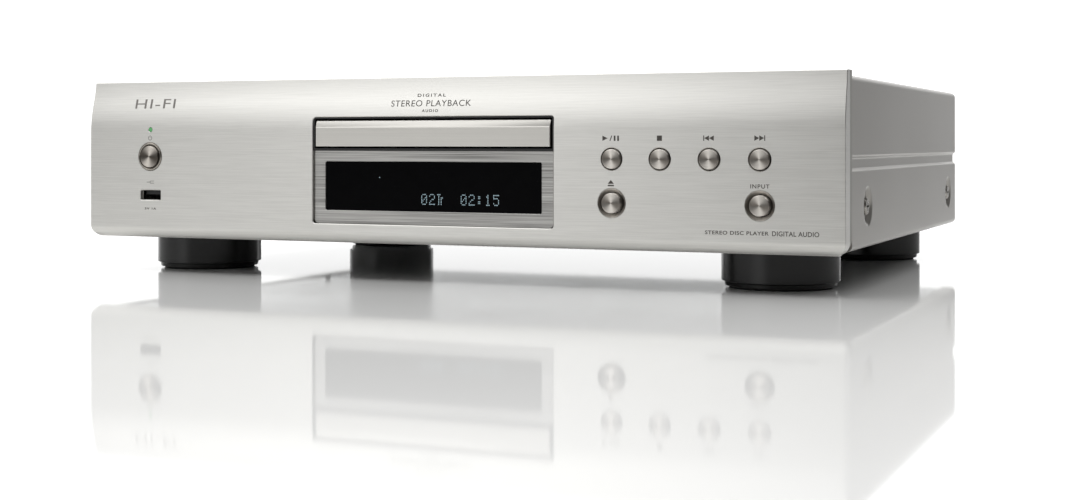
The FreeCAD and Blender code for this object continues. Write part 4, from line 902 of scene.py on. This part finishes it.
# the reading: how deep the glass lies, the dots and their pitch, the step between signs, and where each part starts
displayShape = {
    "glass": 2.1, "proud": 0.03, "dot": (0.4, 0.48), "pitch": (0.7, 0.84), "step": 4.6, "top": 45.6,
    "parts": (("02t", -5.4), ("02:15", 17.4)), "lamp": (-30.3, 54.2),
}


def makeDisplay():
    (dotX, dotZ), (pitchX, pitchZ), top = displayShape["dot"], displayShape["pitch"], displayShape["top"]
    corners = []
    for text, left in displayShape["parts"]:
        for index, sign in enumerate(text):
            start = left + index * displayShape["step"]
            lit = np.argwhere([[dot == "1" for dot in row] for row in dotRows[sign]])
            corners += [(start + column * pitchX, top - row * pitchZ) for row, column in lit]
    low = np.array(corners + [displayShape["lamp"]])
    quad = np.stack([low, low + [dotX, 0], low + [dotX, dotZ], low + [0, dotZ]], 1).reshape(-1, 2)
    depth = frontY + displayShape["glass"] - displayShape["proud"]
    points = np.column_stack([quad[:, 0], np.full(len(quad), depth), quad[:, 1]])
    faces = np.arange(len(points)).reshape(-1, 4)
    makePiece("displayDots", points, faces, "root", displayDots, printed=True)


makePrinting()
makeDisplay()
print("printing and display made")
# the rear plate's face, the collars' seats and the sockets' tips along Y; radii of a phono socket; places as (x, z)
socketShape = {
    "plate": 155.3, "seat": 156.9, "tip": 164.0, "shell": 4.2, "bore": 3.6, "collar": 5.85, "contact": 1.6,
    "wall": 0.3, "phono": ((150.0, 74.0, "white"), (150.0, 50.0, "red"), (112.0, 50.0, "orange")),
    "blocks": (((140, 138, 32.6), (160, 154.1, 84)), ((105, 141, 32.6), (119, 154.1, 58))),
    "remote": (58.0, 42.0), "remoteHeight": 50.0, "remoteRing": (1.85, 2.3, 2.8), "remoteFace": 2.0,
    "inlet": (-165.0, 52.0),
    "blades": ((-7, -2), (7, -2), (0, 3)), "blade": (1.03, 2.03), "bladeEnds": (142.5, 154.33),
}
# plated shells and contacts: bright nickel with a soft haze
socketNickel = makeLook("brightSocketNickel", {
    "colours": ("#a9a7a1", "#c4c2bc"), "rough": (0.14, 0.22), "grain": 0.4, "cloud": 3, "relief": 0.002,
    "metal": 1.0})
# plain black moulding behind the plate
blockPlastic = makeLook("blackSocketPlastic", {
    "colours": ("#0f0f10", "#19191a"), "rough": (0.38, 0.52), "grain": 0.22, "cloud": 12, "relief": 0.02})
# coloured insulators that tell the sockets apart: even, slightly waxy moulding
insulatorColours = {"white": ("#dcdad3", "#e8e6e0"), "red": ("#9d1f1a", "#b32a22"), "orange": ("#c25f14", "#d4701f")}
insulators = {
    name: makeLook(name + "InsulatorPlastic", {
        "colours": pair, "rough": (0.34, 0.44), "grain": 0.4, "cloud": 5, "relief": 0.006})
    for name, pair in insulatorColours.items()}


def phonoOutlines():
    # closed outlines of (radius, y) for a phono socket's shell, its centre sleeve, its insulator and its collar
    seat, tip, plate, wall = (socketShape[key] for key in ("seat", "tip", "plate", "wall"))
    shell, bore, contact, rim = (socketShape[key] for key in ("shell", "bore", "contact", "collar"))
    barrel = [(bore + 0.02, seat), (shell, seat), (shell, tip - wall), (shell - wall / 2, tip), (bore + wall / 2, tip),
              (bore + 0.02, tip - 0.2)]
    sleeve = [(contact - 0.35, tip - 1.0), (contact - 0.05, tip - 1.0), (contact - 0.05, plate),
              (contact - 0.35, plate)]
    face = [(contact - 0.02, tip - 1.5), (contact + 0.1, tip - 0.58), (bore - 0.1, tip - 0.55), (bore, tip - 0.7),
            (bore, plate - 1), (contact - 0.02, plate - 1)]
    collar = [(shell + 0.01, plate + 0.1), (rim, plate + 0.1), (rim, seat - wall), (rim - wall, seat + 0.05),
              (shell + 0.01, seat + 0.05)]
    return [outline + outline[:1] for outline in (barrel, sleeve, face, collar)]


def makeSockets():
    barrel, sleeve, face, collar = phonoOutlines()
    shells = []
    for x, z, name in socketShape["phono"]:
        base = (x, 0, z)
        shells += [lathePoints(barrel, base, "y", 72), lathePoints(sleeve, base, "y", 40)]
        points, faces = joinMeshes([lathePoints(face, base, "y", 72), lathePoints(collar, base, "y", 72)])
        makePiece(name + "Insulator", points, faces, "root", insulators[name])
    points, faces = joinMeshes([roundedBox(low, high, 0.5, 0.4) for low, high in socketShape["blocks"]])
    makePiece("phonoBlocks", points, faces, "root", blockPlastic, ["rca_jacks", "coax_jack"])
    inner, middle, outer = socketShape["remoteRing"]
    level = socketShape["plate"] + socketShape["remoteFace"]
    ring = [(inner, level - 0.1), (inner, level + 0.02), (middle, level + 0.06), (outer, level + 0.02),
            (outer, level - 0.1), (inner, level - 0.1)]
    for x in socketShape["remote"]:
        shells.append(lathePoints(ring, (x, 0, socketShape["remoteHeight"]), "y", 56))
    inletX, inletZ = socketShape["inlet"]
    halfX, halfZ = socketShape["blade"]
    back, front = socketShape["bladeEnds"]
    for x, z in socketShape["blades"]:
        low = (inletX + x - halfX, back, inletZ + z - halfZ)
        high = (inletX + x + halfX, front, inletZ + z + halfZ)
        shells.append(roundedBox(low, high, 0.2, 0.35))
    points, faces = joinMeshes(shells)
    makePiece("socketContacts", points, faces, "root", socketNickel)


makeSockets()
print("rear sockets made")


# finishes of the CAD parts, by the name of their slot
finishes = {
    # moulded ABS in matt silver paint: fine mica
    "silver_plastic": {"colours": ("#8f8d89", "#9b9995"), "rough": (0.4, 0.5), "grain": 0.4, "cloud": 30,
        "relief": 0.01, "metal": 0.3},
    # zinc-plated sheet: faint rolling streaks and a slight bluish cast
    "zinc_steel": {"colours": ("#a0a3a4", "#b0b2b2"), "rough": (0.22, 0.3), "grain": (18, 18, 0.5),
        "cloud": (90, 90, 30), "relief": 0.003, "metal": 1.0, "drift": 0.5},
    # nickel plate on small contacts and rods
    "socket_steel": {"colours": ("#9d9b96", "#b9b7b2"), "rough": (0.16, 0.26), "grain": 0.5, "cloud": 4,
        "relief": 0.003, "metal": 1.0},
    # bright nickel screws, lightly marked by the driver
    "screw_steel": {"colours": ("#8f8c86", "#aba8a2"), "rough": (0.2, 0.34), "grain": 0.25, "cloud": 3,
        "relief": 0.01, "metal": 1.0},
    # cellular rubber under the feet
    "pad_rubber": {"colours": ("#161616", "#202020"), "rough": (0.75, 0.9), "grain": 0.35, "cloud": 8,
        "relief": 0.06},
    # ground drive belt
    "belt_rubber": {"colours": ("#0e0e0e", "#1a1a1a"), "rough": (0.6, 0.75), "grain": 0.2, "cloud": 5,
        "relief": 0.02},
    # black mouldings with a fine spark texture
    "black_plastic": {"colours": ("#0f0f10", "#19191a"), "rough": (0.38, 0.52), "grain": 0.22, "cloud": 12,
        "relief": 0.02},
    # darker flap of the optical socket
    "shutter_plastic": {"colours": ("#1b1a1d", "#262428"), "rough": (0.3, 0.45), "grain": 0.25, "cloud": 4,
        "relief": 0.01},
    # natural acetal gears and slider, waxy
    "white_plastic": {"colours": ("#d9d5c8", "#e6e2d6"), "rough": (0.32, 0.42), "grain": 0.6, "cloud": 6,
        "relief": 0.008},
    # flat cable jacket
    "cable_plastic": {"colours": ("#b9bab6", "#cfd0cc"), "rough": (0.4, 0.5), "grain": (0.6, 8, 8), "cloud": 12,
        "relief": 0.03},
    # smoked acrylic over the display: black gloss
    "smoked_acrylic": {"colours": ("#030304", "#060607"), "rough": (0.03, 0.06), "grain": 6, "cloud": 60,
        "relief": 0.001, "shine": 0.03},
    # dark glass of the display module
    "display_glass": {"colours": ("#0a0d0e", "#12181a"), "rough": (0.08, 0.16), "grain": (2, 2, 0.8), "cloud": 20,
        "relief": 0.002},
    # solder mask over copper tracks
    "green_board": {"colours": ("#0f3d22", "#1c6638"), "rough": (0.28, 0.42), "grain": 1.4, "cloud": 9,
        "relief": 0.03, "drift": 0.4},
    # lit green indicator
    "green_lens": {"colours": ("#4f9e5c", "#6bb576"), "rough": (0.15, 0.25), "grain": 0.4, "cloud": 1.5,
        "relief": 0.002, "glow": 0.12},
    # die-cast sled, grainy grey
    "cast_zinc": {"colours": ("#77777a", "#8d8e90"), "rough": (0.42, 0.6), "grain": 0.5, "cloud": 8,
        "relief": 0.03, "metal": 0.85},
    # turned brass
    "brass": {"colours": ("#9c7a35", "#c39f55"), "rough": (0.2, 0.34), "grain": (2, 2, 0.15), "cloud": 5,
        "relief": 0.006, "metal": 1.0},
    # coated pickup lens, violet-blue
    "lens_glass": {"colours": ("#39415e", "#5b6694"), "rough": (0.03, 0.07), "grain": 1, "cloud": 3,
        "relief": 0.001, "coat": 0.6},
    # stacked laminations under brown varnish
    "core_steel": {"colours": ("#2a2521", "#4a423b"), "rough": (0.35, 0.55), "grain": (20, 0.5, 20),
        "cloud": (25, 4, 25), "relief": 0.05, "metal": 0.6},
    # black anodised extrusion
    "black_aluminium": {"colours": ("#121214", "#1e1e21"), "rough": (0.34, 0.46), "grain": (0.5, 0.5, 12),
        "cloud": (10, 10, 30), "relief": 0.015, "metal": 0.8},
    # shrink sleeve of the capacitors
    "capacitor_sleeve": {"colours": ("#0d1226", "#182043"), "rough": (0.22, 0.34), "grain": (1.2, 1.2, 6),
        "cloud": 8, "relief": 0.01},
}


def paintCadParts():
    ready = {name: makeLook("cad_" + name, look) for name, look in finishes.items()}
    ready.update({"brushed_aluminium": panelMetal, "door_aluminium": doorMetal, "turned_aluminium": turnedMetal,
                  "polished_ring": ringMetal, "cover_paint": coverPaint, "foot_plastic": footPlastic})
    for node in nodes.values():
        for place in node.material_slots:
            slotName = place.material.name.split(".")[0] if place.material else ""
            place.link = "OBJECT"
            place.material = ready.get(slotName, ready["black_plastic"])


paintCadParts()
print("CAD parts painted")
